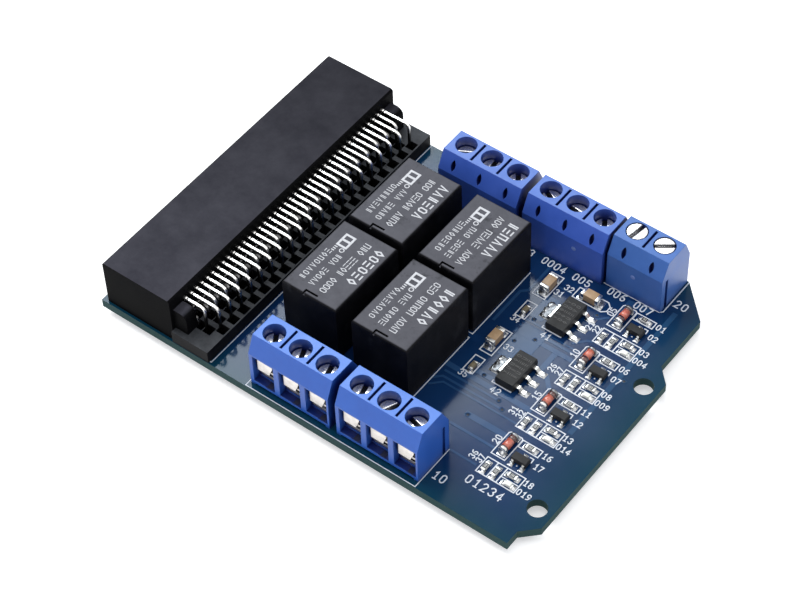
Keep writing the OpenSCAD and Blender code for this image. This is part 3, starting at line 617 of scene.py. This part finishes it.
# each channel's parts: offset from its transistor, and the resistors' turn
RESISTORS = [(-0.1, 2.75, 0), (-3.6, -3.85, 90), (-1.8, -3.8, 90), (0.7, -3.0, 0)]
LAMP = (1.0, -4.55)
DIODE = (-3.1, 1.35)
# length, width and height of the chip parts
RESISTOR_SIZE = (1.6, 0.82, 0.5)
LARGE_CAPACITOR_SIZE = (3.2, 1.6, 1.5)
SMALL_CAPACITOR_SIZE = (1.6, 0.82, 0.8)
LAMP_SIZE = (1.6, 0.8, 0.3)


def channels():
    """Each channel's transistor place."""
    for k in range(CHANNELS):
        yield CHANNEL_X, CHANNEL_Y + k * CHANNEL_PITCH


def aside(x, y, turn, along, across=0.0):
    """The point (along, across) of a part that stands at x, y and is turned."""
    a = math.radians(turn)
    return (x + along * math.cos(a) - across * math.sin(a),
            y + along * math.sin(a) + across * math.cos(a))


# direction of each clamp screw's slot, in the order of the poles
SLOTS = [29.5, 96.6, 123.7, 152.4, 174.7, 122.1, 121.7, 112.0, 103.2, 104.5, 64.4, 166.8, 81.4, 35.9]
BLOCKS = 5
POLES = len(SLOTS)
CONTACTS_IN_LINE = 20
RELAYS = 4

# how far things stand up from the mask
COPPER_T = 0.018       # track under the mask
PAD_T = 0.04           # tinned pad
PRINT_T = 0.045        # print, clear of the covered copper
LID_PRINT_T = 0.01     # print on a relay's lid


# ------------------------------------------------------------------ small parts

def pad(pieces, x, y, length, width, turn=0, skin=SOLDER):
    """Tinned copper pad round x, y."""
    pieces.box((x, y, 0), (length, width, PAD_T), skin, turn, bevel=0.01)


def chip(body, ends, solder, x, y, turn, size, body_skin, cap_share, film=None):
    """Chip part: a body between two wrapped metal ends, each in a solder meniscus on its pad."""
    length, width, height = size
    cap = length * cap_share
    body.box((x, y, 0.05), (length - 2 * cap + 0.02, width - 0.03, height - 0.06), body_skin, turn,
             bevel=0.03)
    if film:
        body.box((x, y, height - 0.015), (length - 2 * cap - 0.02, width - 0.12, 0.02), film, turn)
    for side in (0, 180):
        ex, ey = aside(x, y, turn + side, (length - cap) / 2)
        ends.box((ex, ey, 0.02), (cap, width, height - 0.02), TIN, turn, bevel=0.06)
        px, py = aside(x, y, turn + side, length / 2 + 0.12)
        pad(solder, px, py, 0.25 * length + 0.35, width * 1.15, turn)
        fx, fy = aside(x, y, turn + side, length / 2 - 0.02)
        solder.fillet((fx, fy, PAD_T), width * 1.02, 0.14 * length + 0.18, height * 0.72, SOLDER,
                      turn + side)


def build_chips():
    solder = Pieces("chip_solder", SOLDER)
    ends = Pieces("chip_ends", TIN)
    resistors = Pieces("resistor_bodies", ALUMINA, CHIP_FILM, CHIP_MARK)
    for cx, cy in channels():
        for dx, dy, turn in RESISTORS:
            x, y = cx + dx, cy + dy
            chip(resistors, ends, solder, x, y, turn, RESISTOR_SIZE, ALUMINA, 0.2, CHIP_FILM)
            for i in (-1, 0, 1):
                mx, my = aside(x, y, turn, 0.2 * i)
                resistors.box((mx, my, RESISTOR_SIZE[2]), (0.09, 0.4, 0.012), CHIP_MARK, turn)
    resistors.done(replaces=["resistors"])
    capacitors = Pieces("capacitor_bodies", CERAMIC, CERAMIC_DARK)
    for x, y, turn in LARGE_CAPACITORS:
        chip(capacitors, ends, solder, x, y, turn, LARGE_CAPACITOR_SIZE, CERAMIC, 0.17)
    for x, y, turn in SMALL_CAPACITORS:
        chip(capacitors, ends, solder, x, y, turn, SMALL_CAPACITOR_SIZE, CERAMIC_DARK, 0.17)
    capacitors.done(replaces=["capacitors"])
    lamps = Pieces("lamp_bodies", ALUMINA, LENS)
    for cx, cy in channels():
        x, y = cx + LAMP[0], cy + LAMP[1]
        chip(lamps, ends, solder, x, y, 0, LAMP_SIZE, ALUMINA, 0.18)
        lamps.box((x, y, 0.26), (1.1, 0.76, 0.33), LENS, 0, bevel=0.05, taper=0.06)
    lamps.done(replaces=["leds"])
    ends.done()
    solder.done()


DIODE_L, DIODE_R, DIODE_CAP = 3.4, 0.75, 0.45
RED_HALF = 0.75                              # half the length of the red part
RED_SHIFTS = (-0.3, -0.25, 0.45, 0.1)        # its middle along the tube, in the channels' order


def build_diodes():
    """Glass tubes, red in part and dark at both ends, between two metal caps."""
    glass = Pieces("diode_glass_tubes", GLASS_RED, GLASS_DARK)
    caps = Pieces("diode_caps", TIN, TAB)
    solder = Pieces("diode_solder", SOLDER)
    radius, cap = DIODE_R, DIODE_CAP
    inner = radius - 0.07
    half = DIODE_L / 2 - cap
    for (cx, cy), shift in zip(channels(), RED_SHIFTS):
        x, y = cx + DIODE[0], cy + DIODE[1]
        axle = (x, y, radius)
        low, high = shift - RED_HALF, shift + RED_HALF
        glass.turned([(inner, low), (inner, high)], axle, GLASS_RED, 32, "Y")
        glass.turned([(inner - 0.1, -half), (inner, -half + 0.1), (inner, low)], axle, GLASS_DARK,
                     32, "Y")
        glass.turned([(inner, high), (inner, half - 0.04), (inner - 0.1, half)], axle, GLASS_DARK,
                     32, "Y")
        for side, start, skin in ((-1, -DIODE_L / 2, TIN), (1, half, TAB)):
            caps.turned([(radius - 0.12, 0), (radius, 0.06), (radius, cap - 0.06),
                         (radius - 0.08, cap)], (x, y + start, radius), skin, 32, "Y")
            pad(solder, x, y + side * (DIODE_L / 2 + 0.05), 1.5, 0.95)
            solder.blob((x, y + side * (DIODE_L / 2 - 0.05), PAD_T), (1.45, 0.95, 0.62), SOLDER,
                        lumps=0.3)
    glass.done(replaces=["diodes"])
    caps.done()
    solder.done()


def leg(pieces, x, y, turn, length, width, height, thick=0.22, skin=TIN):
    """Gull-wing leg: out of the body, down and flat on its pad."""
    pieces.profile([(-0.1, height), (length * 0.33, height), (length * 0.58, thick + PAD_T),
                    (length, thick + PAD_T), (length, PAD_T), (length * 0.5, PAD_T),
                    (length * 0.25, height - thick), (-0.1, height - thick)],
                   width, (x, y, 0), skin, turn, bevel=0.03)


def moulded_body(pieces, x, y, size, low=0.1):
    """Package body: draft on both halves, a bevelled upper edge."""
    w, l, h = size
    waist = low + (h - low) * 0.48
    pieces.profile([(-w / 2 + 0.12, low), (w / 2 - 0.12, low), (w / 2, waist),
                    (w / 2 - 0.14, h), (-w / 2 + 0.14, h), (-w / 2, waist)],
                   l, (x, y, 0), PACKAGE, 0, bevel=0.05)


REGULATOR_SIZE = (3.5, 6.5, 1.65)       # width, length and height of the body
TRANSISTOR_SIZE = (2.9, 1.3, 1.05)
LEG_Z = 0.85                            # top of a regulator's legs where they leave the body


def build_regulators(legs, tabs, solder):
    """Bodies with plain marks, three legs on one side and the heat tab on the other."""
    bodies = Pieces("regulator_bodies", PACKAGE)
    marks = Pieces("regulator_marks", PACKAGE_MARK)
    for x, y in REGULATORS:
        left, right = x - REGULATOR_SIZE[0] / 2, x + REGULATOR_SIZE[0] / 2
        moulded_body(bodies, x, y, REGULATOR_SIZE)
        for dy in (-2.3, 0, 2.3):
            leg(legs, right - 0.05, y + dy, 0, 1.75, 0.72, LEG_Z)
            pad(solder, right + 1.35, y + dy, 1.7, 1.15)
            solder.fillet((right + 1.66, y + dy, PAD_T), 1.0, 0.55, 0.3, SOLDER)
            solder.blob((right + 1.3, y + dy, PAD_T), (1.1, 1.0, 0.2), SOLDER)
        leg(tabs, left + 0.05, y, 180, 1.75, 3.0, LEG_Z, skin=TAB)
        tabs.box((left - 0.3, y, LEG_Z), (0.6, 2.96, 0.012), TIN)
        pad(tabs, left - 1.35, y, 1.9, 3.5, skin=SOLDER_DARK)
        for dy in (-1.1, 0.1, 1.2):
            tabs.blob((left - 1.75 - 0.15 * rng.random(), y + dy, PAD_T), (1.0, 1.3, 0.26),
                      SOLDER_DARK, lumps=0.4)
        for dx in (-1.0, -0.1, 0.8):
            for i in range(5):
                strokes(marks, MARKS[rng.randrange(len(MARKS))], x + dx - 0.3, y + 2.3 - 0.95 * i,
                        0.66, -90, 0.12, PACKAGE_MARK, REGULATOR_SIZE[2])
    marks.done()
    bodies.done(replaces=["regulators"])


def build_transistors(legs, solder):
    """Small bodies with two legs in front and one behind."""
    bodies = Pieces("transistor_bodies", PACKAGE)
    for x, y in channels():
        moulded_body(bodies, x, y, TRANSISTOR_SIZE)
        for dx, side in ((-0.95, -1), (0.95, -1), (0, 1)):
            leg(legs, x + dx, y + side * 0.6, side * 90, 0.62, 0.4, 0.6, 0.12)
            pad(solder, x + dx, y + side * 1.15, 0.85, 0.9)
            solder.fillet((x + dx, y + side * 1.12, PAD_T), 0.8, 0.5, 0.4, SOLDER, side * 90)
    bodies.done(replaces=["transistors"])


def build_packages():
    legs = Pieces("package_legs", TIN)
    tabs = Pieces("package_tabs", TAB, TIN, SOLDER_DARK)
    solder = Pieces("package_solder", SOLDER)
    build_regulators(legs, tabs, solder)
    build_transistors(legs, solder)
    legs.done()
    tabs.done()
    solder.done()


# ------------------------------------------------------------------ on the CAD's larger parts

HEAD_D, HEAD_H, HEAD_EDGE = 3.3, 0.95, 0.12
SLOT_W, SLOT_DEPTH = 0.7, 0.6
SHANK_D = 2.4
RIDGES, RIDGE_STEP, RIDGE_DEPTH = 12, 0.25, 0.12    # the thread, as plain rings
HALF_HEAD_STEPS = 22


def half_head():
    """Outline of a screw's head on one side of its slot."""
    radius = HEAD_D / 2
    start = math.asin(SLOT_W / 2 / radius)
    sweep = math.pi - 2 * start
    angles = [start + sweep * i / HALF_HEAD_STEPS for i in range(HALF_HEAD_STEPS + 1)]
    return [(radius * math.cos(a), radius * math.sin(a)) for a in angles]


def build_screws():
    """Slotted screws with soft edges and ridged shanks, in place of the plain ones."""
    radius, shank = HEAD_D / 2, SHANK_D / 2
    for n, turn in enumerate(SLOTS, 1):
        name = "clamp_screw_%d" % n
        x, y, top = centre(name)
        tip = corners(name)[0][2]
        neck, slot_floor = top - HEAD_H, top - SLOT_DEPTH
        rings = [(shank - 0.35, tip), (shank - 0.05, tip + 0.3)]
        for k in range(RIDGES):
            z = tip + 0.35 + RIDGE_STEP * k
            rings += [(shank, z), (shank - RIDGE_DEPTH, z + RIDGE_STEP / 2)]
        rings += [(shank - 0.05, neck - 0.02), (radius - 0.06, neck), (radius, neck + 0.06),
                  (radius, slot_floor)]
        screw = Pieces("slotted_screw_%d" % n, SCREW, SLOT_SHADE)
        screw.turned(rings, (x, y, 0), SCREW, 48)
        # a dark sheet on the slot floor: painted shade
        screw.box((x, y, slot_floor), (HEAD_D - 0.1, SLOT_W + 0.02, 0.01), SLOT_SHADE, turn)
        for side in (0, 180):
            screw.prism(half_head(), SLOT_DEPTH, (x, y, slot_floor), SCREW, turn + side, HEAD_EDGE)
        screw.done(body=name, replaces=[name])


CONTACT_W = 0.42


def build_contact_notch_shades():
    """Thin dark bars across the upper contacts: painted shade of the notch pressed in each."""
    notches = Pieces("contact_notches", NOTCH_SHADE)
    wall = corners("pin_guide")[0][0]
    for name in ("contacts_upper_long", "contacts_upper_short"):
        low, high = corners(name)
        first = low[1] + CONTACT_W / 2
        step = (high[1] - low[1] - CONTACT_W) / (CONTACTS_IN_LINE - 1)
        for k in range(CONTACTS_IN_LINE):
            notches.box((wall + 0.72, first + step * k, high[2] - 0.11),
                        (0.15, CONTACT_W + 0.01, 0.02), NOTCH_SHADE)
    notches.done()


SILL_Z = 0.86        # low end of a wire entry's stepped sill


def build_sill_notch_shades():
    """Thin dark plates on the sills of the wire entries: painted shade in their open notches."""
    notches = Pieces("sill_notch_shades", HOLLOW_SHADE)
    for n in range(1, BLOCKS + 1):
        low, high = corners("terminal_body_%d" % n)
        middle = (low[1] + high[1]) / 2
        for pole in range(1, POLES + 1):
            x, y, _ = centre("clamp_screw_%d" % pole)
            if not (low[0] < x < high[0] and low[1] < y < high[1]):
                continue
            # the screws stand nearer to the wall that the wires enter
            face, side = (low[1], 1) if y < middle else (high[1], -1)
            notches.box((x + side * 0.95, face + side * 0.72, SILL_Z), (0.95, 1.1, 0.03), HOLLOW_SHADE)
    notches.done()


def build_gate_marks():
    """Round marks of the moulding gates, on the walls of two rear blocks that look forward."""
    for n, x, z in ((2, 56.3, 4.95), (5, 67.0, 4.8)):
        y = corners("terminal_body_%d" % n)[0][1]
        mark = Pieces("gate_mark_%d" % n, GATE_MARK)
        mark.turned([(0.16, -0.03), (0.26, -0.025), (0.42, 0.0), (0.45, 0.02)], (x, y, z), GATE_MARK,
                    24, "Y")
        mark.done()


# ------------------------------------------------------------------ copper and print

# strokes of plain digits on a grid 2 wide and 4 high
STROKES = {
    "0": [[(0.6, 0), (0, 0.7), (0, 3.3), (0.6, 4), (1.4, 4), (2, 3.3), (2, 0.7), (1.4, 0), (0.6, 0)]],
    "1": [[(0.4, 3.2), (1.2, 4), (1.2, 0)], [(0.5, 0), (1.9, 0)]],
    "2": [[(0, 3.3), (0.6, 4), (1.4, 4), (2, 3.3), (2, 2.5), (0, 0), (2, 0)]],
    "3": [[(0, 3.4), (0.6, 4), (1.4, 4), (2, 3.4), (2, 2.7), (1.4, 2.1), (2, 1.5), (2, 0.6), (1.4, 0),
           (0.6, 0), (0, 0.6)]],
    "4": [[(1.5, 0), (1.5, 4), (0, 1.5)], [(0, 1.2), (2.1, 1.2)]],
    "5": [[(1.9, 4), (0.2, 4), (0.1, 2.3), (1.3, 2.4), (2, 1.7), (2, 0.7), (1.3, 0), (0.6, 0), (0, 0.6)]],
    "6": [[(1.8, 4), (0.7, 3.6), (0, 2.2), (0, 0.7), (0.6, 0), (1.4, 0), (2, 0.7), (2, 1.5), (1.4, 2.2),
           (0.6, 2.2), (0, 1.6)]],
    "7": [[(0, 4), (2, 4), (0.7, 0)]],
    "8": [[(0.6, 0), (0, 0.6), (0, 1.5), (0.5, 2.1), (1.5, 2.1), (2, 1.5), (2, 0.6), (1.4, 0), (0.6, 0)],
          [(0.6, 2.2), (0.1, 2.7), (0.1, 3.4), (0.6, 4), (1.4, 4), (1.9, 3.4), (1.9, 2.7), (1.4, 2.2),
           (0.6, 2.2)]],
    "9": [[(0.2, 0), (1.3, 0.4), (2, 1.8), (2, 3.3), (1.4, 4), (0.6, 4), (0, 3.3), (0, 2.5), (0.6, 1.8),
           (1.4, 1.8), (2, 2.4)]],
}
# plain marks for the tops of the relays and regulators: no letters and no numbers
MARKS = [
    [[(0.5, 0), (0.5, 4)], [(1.5, 0), (1.5, 4)]],
    [[(0, 0.6), (0, 3.4), (1, 4), (2, 3.4), (2, 0.6), (1, 0), (0, 0.6)]],
    [[(0, 0), (0, 4), (2, 4), (2, 0)]],
    [[(0, 4), (2, 4)], [(0, 2), (2, 2)], [(0, 0), (2, 0)]],
    [[(0, 0), (1, 4), (2, 0)]],
    [[(0, 2), (1, 4), (2, 2), (1, 0), (0, 2)]],
]


def strokes(ink, lines, x, y, height, turn, width, skin, z, thick=PRINT_T):
    """Draws strokes given on the 2 by 4 grid, lower left corner at x, y, turned about Z."""
    for line in lines:
        points = [aside(x, y, turn, a * height / 4, b * height / 4) for a, b in line]
        ring = line[0] == line[-1]
        ink.ribbon(points[:-1] if ring else points, width, skin, z, thick, closed=ring)


def digits(ink, text, x, y, height=1.0, turn=0, width=0.17, gap=0.36):
    """A row of plain digits that starts at x, y."""
    for i, digit in enumerate(text):
        px, py = aside(x, y, turn, i * height * (0.5 + gap))
        strokes(ink, STROKES[digit], px, py, height, turn, width, PRINT, 0.0)


def line(ink, width, *points):
    ink.ribbon(points, width, PRINT, 0.0, PRINT_T)


def outline(ink, *points):
    """Closed line."""
    ink.ribbon(points, 0.18, PRINT, 0.0, PRINT_T, closed=True)


def rectangle(ink, x0, y0, x1, y1, cut=0.0):
    """Rectangle drawn in line, with its two far corners cut if cut is given."""
    far = [(x1, y1), (x0, y1)]
    if cut:
        far = [(x1, y1 - cut), (x1 - cut, y1), (x0 + cut, y1), (x0, y1 - cut)]
    outline(ink, (x0, y0), (x1, y0), *far)


# the numbers by a channel's parts: step from its first number, digits, offset, height and turn
CHANNEL_NUMBERS = [
    (0, 2, 2.1, 2.45, 1.0, 0), (1, 2, 2.15, 0.1, 1.0, 0), (2, 2, 2.7, -3.2, 1.0, 0),
    (3, 3, 2.75, -5.1, 1.0, 0), (4, 2, -4.75, 0.7, 1.0, 90), (20, 2, -6.0, -3.6, 0.95, 90),
    (21, 2, -4.7, -3.6, 0.95, 90),
]
NUMBERS_IN_CHANNEL = 5
# the larger numbers by the poles and near the tongue: digits, place, height and gap
LARGE_NUMBERS = [
    ("003", 46.4, 46.85, 1.3, 0.4), ("0004", 51.4, 46.85, 1.3, 0.4), ("005", 57.3, 46.85, 1.3, 0.4),
    ("006", 63.4, 47.65, 1.3, 0.4), ("007", 68.3, 47.65, 1.3, 0.4), ("20", 73.3, 51.5, 1.4, 0.42),
    ("10", 62.5, 3.0, 1.4, 0.42), ("12", 26.0, 5.4, 1.4, 0.42), ("01234", 66.85, 5.3, 1.45, 0.45),
]


def print_channel(ink, x, y, first):
    """Outlines and numbers round the parts of the channel whose transistor is at x, y."""
    rectangle(ink, x - 4.53, y - 1.18, x - 2.05, y + 3.7, cut=0.25)
    rectangle(ink, x - 1.95, y + 2.1, x + 1.62, y + 3.5)
    rectangle(ink, x - 4.45, y - 5.2, x + 2.45, y - 2.05)
    for dx in (-2.3, -0.6):
        line(ink, 0.2, (x + dx - 0.2, y - 5.2), (x + dx - 0.2, y - 2.05))
    line(ink, 0.16, (x - 0.7, y - 3.85), (x + 2.2, y - 3.85))
    line(ink, 0.17, (x + 0.75, y + 1.5), (x + 1.35, y + 1.5), (x + 1.4, y + 0.8))
    ink.turned([(0.13, 0.0), (0.13, PRINT_T)], (x, y - 0.95, 0), PRINT, 12)
    for step, places, dx, dy, height, turn in CHANNEL_NUMBERS:
        digits(ink, str(first + step).zfill(places), x + dx, y + dy, height, turn)


def print_regulators(ink):
    for i, (x, y) in enumerate(REGULATORS):
        line(ink, 0.18, (x - 2.2, y - 2.95), (x - 2.2, y - 3.35), (x + 1.3, y - 3.35),
             (x + 1.3, y - 2.95))
        digits(ink, str(42 - i), x - 1.5, y - 5.0, 1.1)


def print_capacitors(ink):
    rectangle(ink, 53.95, 26.8, 56.2, 32.3)
    rectangle(ink, 53.95, 40.8, 56.3, 46.15)
    rectangle(ink, 54.25, 35.7, 56.1, 39.15)
    rectangle(ink, 54.1, 22.2, 55.9, 25.6)
    outline(ink, (59.4, 43.9), (64.8, 43.9), (65.5, 44.5), (65.5, 45.5), (64.8, 46.15), (59.4, 46.15))
    for text, x, y in (("31", 56.7, 42.7), ("32", 57.5, 44.4), ("33", 56.75, 29.1),
                       ("34", 54.2, 34.5), ("35", 54.0, 21.05)):
        digits(ink, text, x, y)


def print_large_outlines(ink):
    """Lines beside the relays, round the terminal blocks and round the pin guide."""
    line(ink, 0.16, (51.3, 44.0), (51.3, 28.6), (50.5, 28.6))
    line(ink, 0.16, (50.5, 27.7), (51.3, 27.7), (51.3, 12.2))
    line(ink, 0.14, (29.25, 1.5), (29.25, 0.16), (61.6, 0.16), (61.6, 8.6))
    line(ink, 0.17, (72.65, 57.0), (72.65, 49.6), (72.2, 49.15), (61.9, 49.15))
    line(ink, 0.14, (22.15, 56.95), (22.15, 0.45), (14.6, 0.45))


def build_print():
    ink = Pieces("board_print", PRINT)
    for k, (x, y) in enumerate(channels()):
        print_channel(ink, x, y, NUMBERS_IN_CHANNEL * (CHANNELS - 1 - k) + 1)
    print_regulators(ink)
    print_capacitors(ink)
    print_large_outlines(ink)
    for text, x, y, height, gap in LARGE_NUMBERS:
        digits(ink, text, x, y, height, width=0.2, gap=gap)
    ink.done()


# width and line of the tracks, then of the wider fields that carry supply and heat
TRACKS = [
    (1.0, [(51.9, 21.7), (66.9, 21.7)]), (0.42, [(52.2, 20.4), (62.1, 20.4)]),
    (0.42, [(51.4, 18.2), (52.5, 19.3), (63.4, 19.3)]),
    (0.36, [(51.7, 16.9), (53.2, 18.4), (66.8, 18.4)]), (1.1, [(60.0, 15.6), (66.9, 15.6)]),
    (0.5, [(58.8, 12.8), (67.0, 12.8)]), (0.4, [(61.8, 8.7), (66.3, 8.7)]),
    (0.32, [(56.3, 35.25), (66.9, 35.25)]), (0.55, [(56.3, 34.5), (66.0, 34.5)]),
    (0.9, [(56.4, 33.25), (67.2, 33.25)]), (1.0, [(63.9, 32.7), (63.9, 29.3)]),
    (0.8, [(65.1, 28.7), (67.0, 26.8)]), (0.9, [(56.3, 23.15), (58.6, 23.15)]),
    (0.45, [(56.3, 36.0), (59.4, 36.0)]), (0.45, [(64.9, 36.2), (66.4, 37.9), (67.0, 38.1)]),
    (0.9, [(74.4, 22.0), (74.4, 50.0)]), (0.3, [(56.8, 44.3), (59.2, 44.3)]),
    (0.45, [(64.9, 42.0), (66.4, 43.6)]), (0.5, [(53.2, 47.9), (53.2, 41.0), (52.2, 40.0), (52.2, 33.0)]),
    (4.6, [(58.8, 32.9), (58.8, 30.0)]), (2.4, [(57.4, 38.0), (57.4, 40.8)]),
    (1.2, [(67.6, 44.2), (67.6, 48.0), (70.5, 48.4)]),
]
FAN_TRACKS, FAN_X, FAN_PITCH = 6, 24.0, 0.85       # beside the pin guide
VIAS = [(57.3, 36.6), (57.3, 31.3), (57.5, 23.1), (62.2, 20.4), (63.6, 19.3), (59.8, 33.3),
        (60.0, 15.5), (53.2, 47.9), (75.4, 34.6), (64.7, 43.0)]


def build_copper():
    """Tracks and fields of copper that stand out a little under the mask, and vias."""
    copper = Pieces("covered_copper", TRACE)
    for width, points in TRACKS:
        copper.ribbon(points, width, TRACE, 0.0, COPPER_T)
    for i in range(FAN_TRACKS):
        x = FAN_X + FAN_PITCH * i
        copper.ribbon([(x, 9.4 - 0.5 * i), (x, 12.4), (x + 1.4, 13.8)], 0.36, TRACE, 0.0, COPPER_T)
    copper.done()
    vias = Pieces("via_rings", TRACE, VIA)
    for x, y in VIAS:
        vias.turned([(0.42, 0.0), (0.42, 0.03), (0.30, 0.045), (0.24, 0.03)], (x, y, 0), TRACE, 20)
        vias.turned([(0.26, 0.0), (0.26, 0.034)], (x, y, 0), VIA, 16)
    vias.done()


# rows of marks on a relay's lid, from its middle: start, height, count, pitch and line width
LID_ROWS = [(2.8, 5.6, 1.45, 6, 1.38, 0.26), (0.55, 5.65, 1.1, 14, 0.84, 0.14),
            (-1.65, 1.4, 0.95, 9, 0.82, 0.13), (-3.7, 1.4, 0.95, 8, 0.9, 0.13)]
LID_GAPS = (3, 9)           # places left free in the rows of more than eight
RING_R, RING_STEPS = 0.36, 20


def build_lid_print():
    """Rows of plain marks where each relay's lid is printed, and a framed bar and a ring."""
    ink = Pieces("lid_print", RELAY_PRINT)
    for n in range(1, RELAYS + 1):
        cx, cy, top = centre("relay_case_%d" % n)

        def stripe(width, *points, closed=False):
            moved = [(cx + a, cy + b) for a, b in points]
            ink.ribbon(moved, width, RELAY_PRINT, top, LID_PRINT_T, closed)

        for x, y, height, count, pitch, width in LID_ROWS:
            for i in range(count):
                if count > 8 and i in LID_GAPS:
                    continue
                strokes(ink, MARKS[rng.randrange(len(MARKS))], cx + x, cy + y - i * pitch, height,
                        -90, width, RELAY_PRINT, top, LID_PRINT_T)
        stripe(0.38, (-2.95, 3.1), (-1.3, 3.1), (-1.3, 5.45), (-2.95, 5.45), closed=True)
        stripe(0.42, (-2.8, 4.3), (-1.45, 4.3))
        turns = [2 * math.pi * k / RING_STEPS for k in range(RING_STEPS)]
        stripe(0.16, *((-1.55 + RING_R * math.cos(a), 2.4 + RING_R * math.sin(a)) for a in turns),
               closed=True)
        for k in range(3):
            stripe(0.2, (-3.0, 2.6 - 0.42 * k), (-2.65, 2.6 - 0.42 * k))
    ink.done()


build_contact_notch_shades()
build_sill_notch_shades()
build_gate_marks()
build_screws()
build_chips()
build_diodes()
build_packages()
build_copper()
build_print()
build_lid_print()


# ------------------------------------------------------------------ camera, light and floor

VIEW_AIM = (38.05, 27.48, 0.0)      # where the camera looks, on the board
VIEW_AZIMUTH = 39.02                # from the front edge towards the tongue
VIEW_ELEVATION = 49.87
VIEW_ROLL = -2.32
VIEW_DISTANCE = 385.65              # mm
VIEW_LENS = 110.79                  # mm on a sensor 36 mm wide


def place_camera():
    data = bpy.data.cameras.new("camera")
    data.sensor_width = 36.0
    data.lens = VIEW_LENS
    data.clip_start = 0.01
    camera = add("camera", data)
    turn = (Matrix.Rotation(math.radians(VIEW_AZIMUTH), 4, "Z")
            @ Matrix.Rotation(math.radians(90 - VIEW_ELEVATION), 4, "X")
            @ Matrix.Rotation(math.radians(VIEW_ROLL), 4, "Z"))
    back = turn.to_3x3() @ Vector((0, 0, 1))
    camera.matrix_world = Matrix.Translation(at(*VIEW_AIM) + back * VIEW_DISTANCE * MM) @ turn
    scene.camera = camera


def soft_light(name, azimuth, elevation, distance, size, watts, tint=(1, 1, 1)):
    """Square area light aimed at the board; azimuth is counted from +X towards +Y."""
    data = bpy.data.lights.new(name, "AREA")
    data.shape = "RECTANGLE"
    data.size, data.size_y = size
    data.energy = watts
    data.color = tint
    lamp = add(name, data)
    a, e = math.radians(azimuth), math.radians(elevation)
    towards = Vector((math.cos(e) * math.cos(a), math.cos(e) * math.sin(a), math.sin(e)))
    lamp.location = towards * distance
    lamp.rotation_euler = towards.to_track_quat("Z", "Y").to_euler()


def seen_directly(tree):
    """1 for camera, mirror and see-through rays, 0 for the light that falls on things."""
    path = node(tree, "LightPath")
    share = arithmetic(tree, "MAXIMUM", path.outputs["Is Camera Ray"], path.outputs["Is Glossy Ray"])
    return arithmetic(tree, "MAXIMUM", share, path.outputs["Is Transmission Ray"])


FLOOR_HALF = 6.0
FLOOR_GAP = 0.05 * MM       # the lead ends stay just clear of the floor


def build_stage():
    """White surroundings and a floor that looks white and takes the shadow, and the lamps."""
    world = bpy.data.worlds.new("white_room")
    world.use_nodes = True
    scene.world = world
    tree = world.node_tree
    back = tree.nodes["Background"]
    link(tree, blend_colour(tree, seen_directly(tree), (0.42, 0.43, 0.45), (1, 1, 1)),
         back.inputs["Color"])
    mesh = bpy.data.meshes.new("floor")
    mesh.from_pydata([(x * FLOOR_HALF, y * FLOOR_HALF, 0)
                      for x, y in ((-1, -1), (1, -1), (1, 1), (-1, 1))], [], [(0, 1, 2, 3)])
    floor = add("floor", mesh)
    floor.location.z = CAD_BOX[0].z - FLOOR_GAP
    m, tree, shader = finish_surface("white_floor", 0.9, level=0.1)
    shader.inputs["Base Color"].default_value = (0.82, 0.82, 0.82, 1)
    shader.inputs["Emission Color"].default_value = (1, 1, 1, 1)
    link(tree, arithmetic(tree, "MULTIPLY", seen_directly(tree), 0.5), shader.inputs["Emission Strength"])
    mesh.materials.append(m)
    soft_light("key", 178, 55, 0.9, (0.5, 0.5), 4.6)
    soft_light("sheen", 133.5, 49.2, 0.9, (0.26, 0.15), 1.55, (0.90, 1.0, 1.06))
    soft_light("above", -60, 84, 0.9, (0.5, 0.5), 1.9)
    soft_light("side", 30, 45, 0.9, (0.4, 0.4), 1.1)
    soft_light("front", -95, 30, 0.9, (0.5, 0.4), 0.9)


place_camera()
build_stage()
scene.view_settings.view_transform = "Standard"
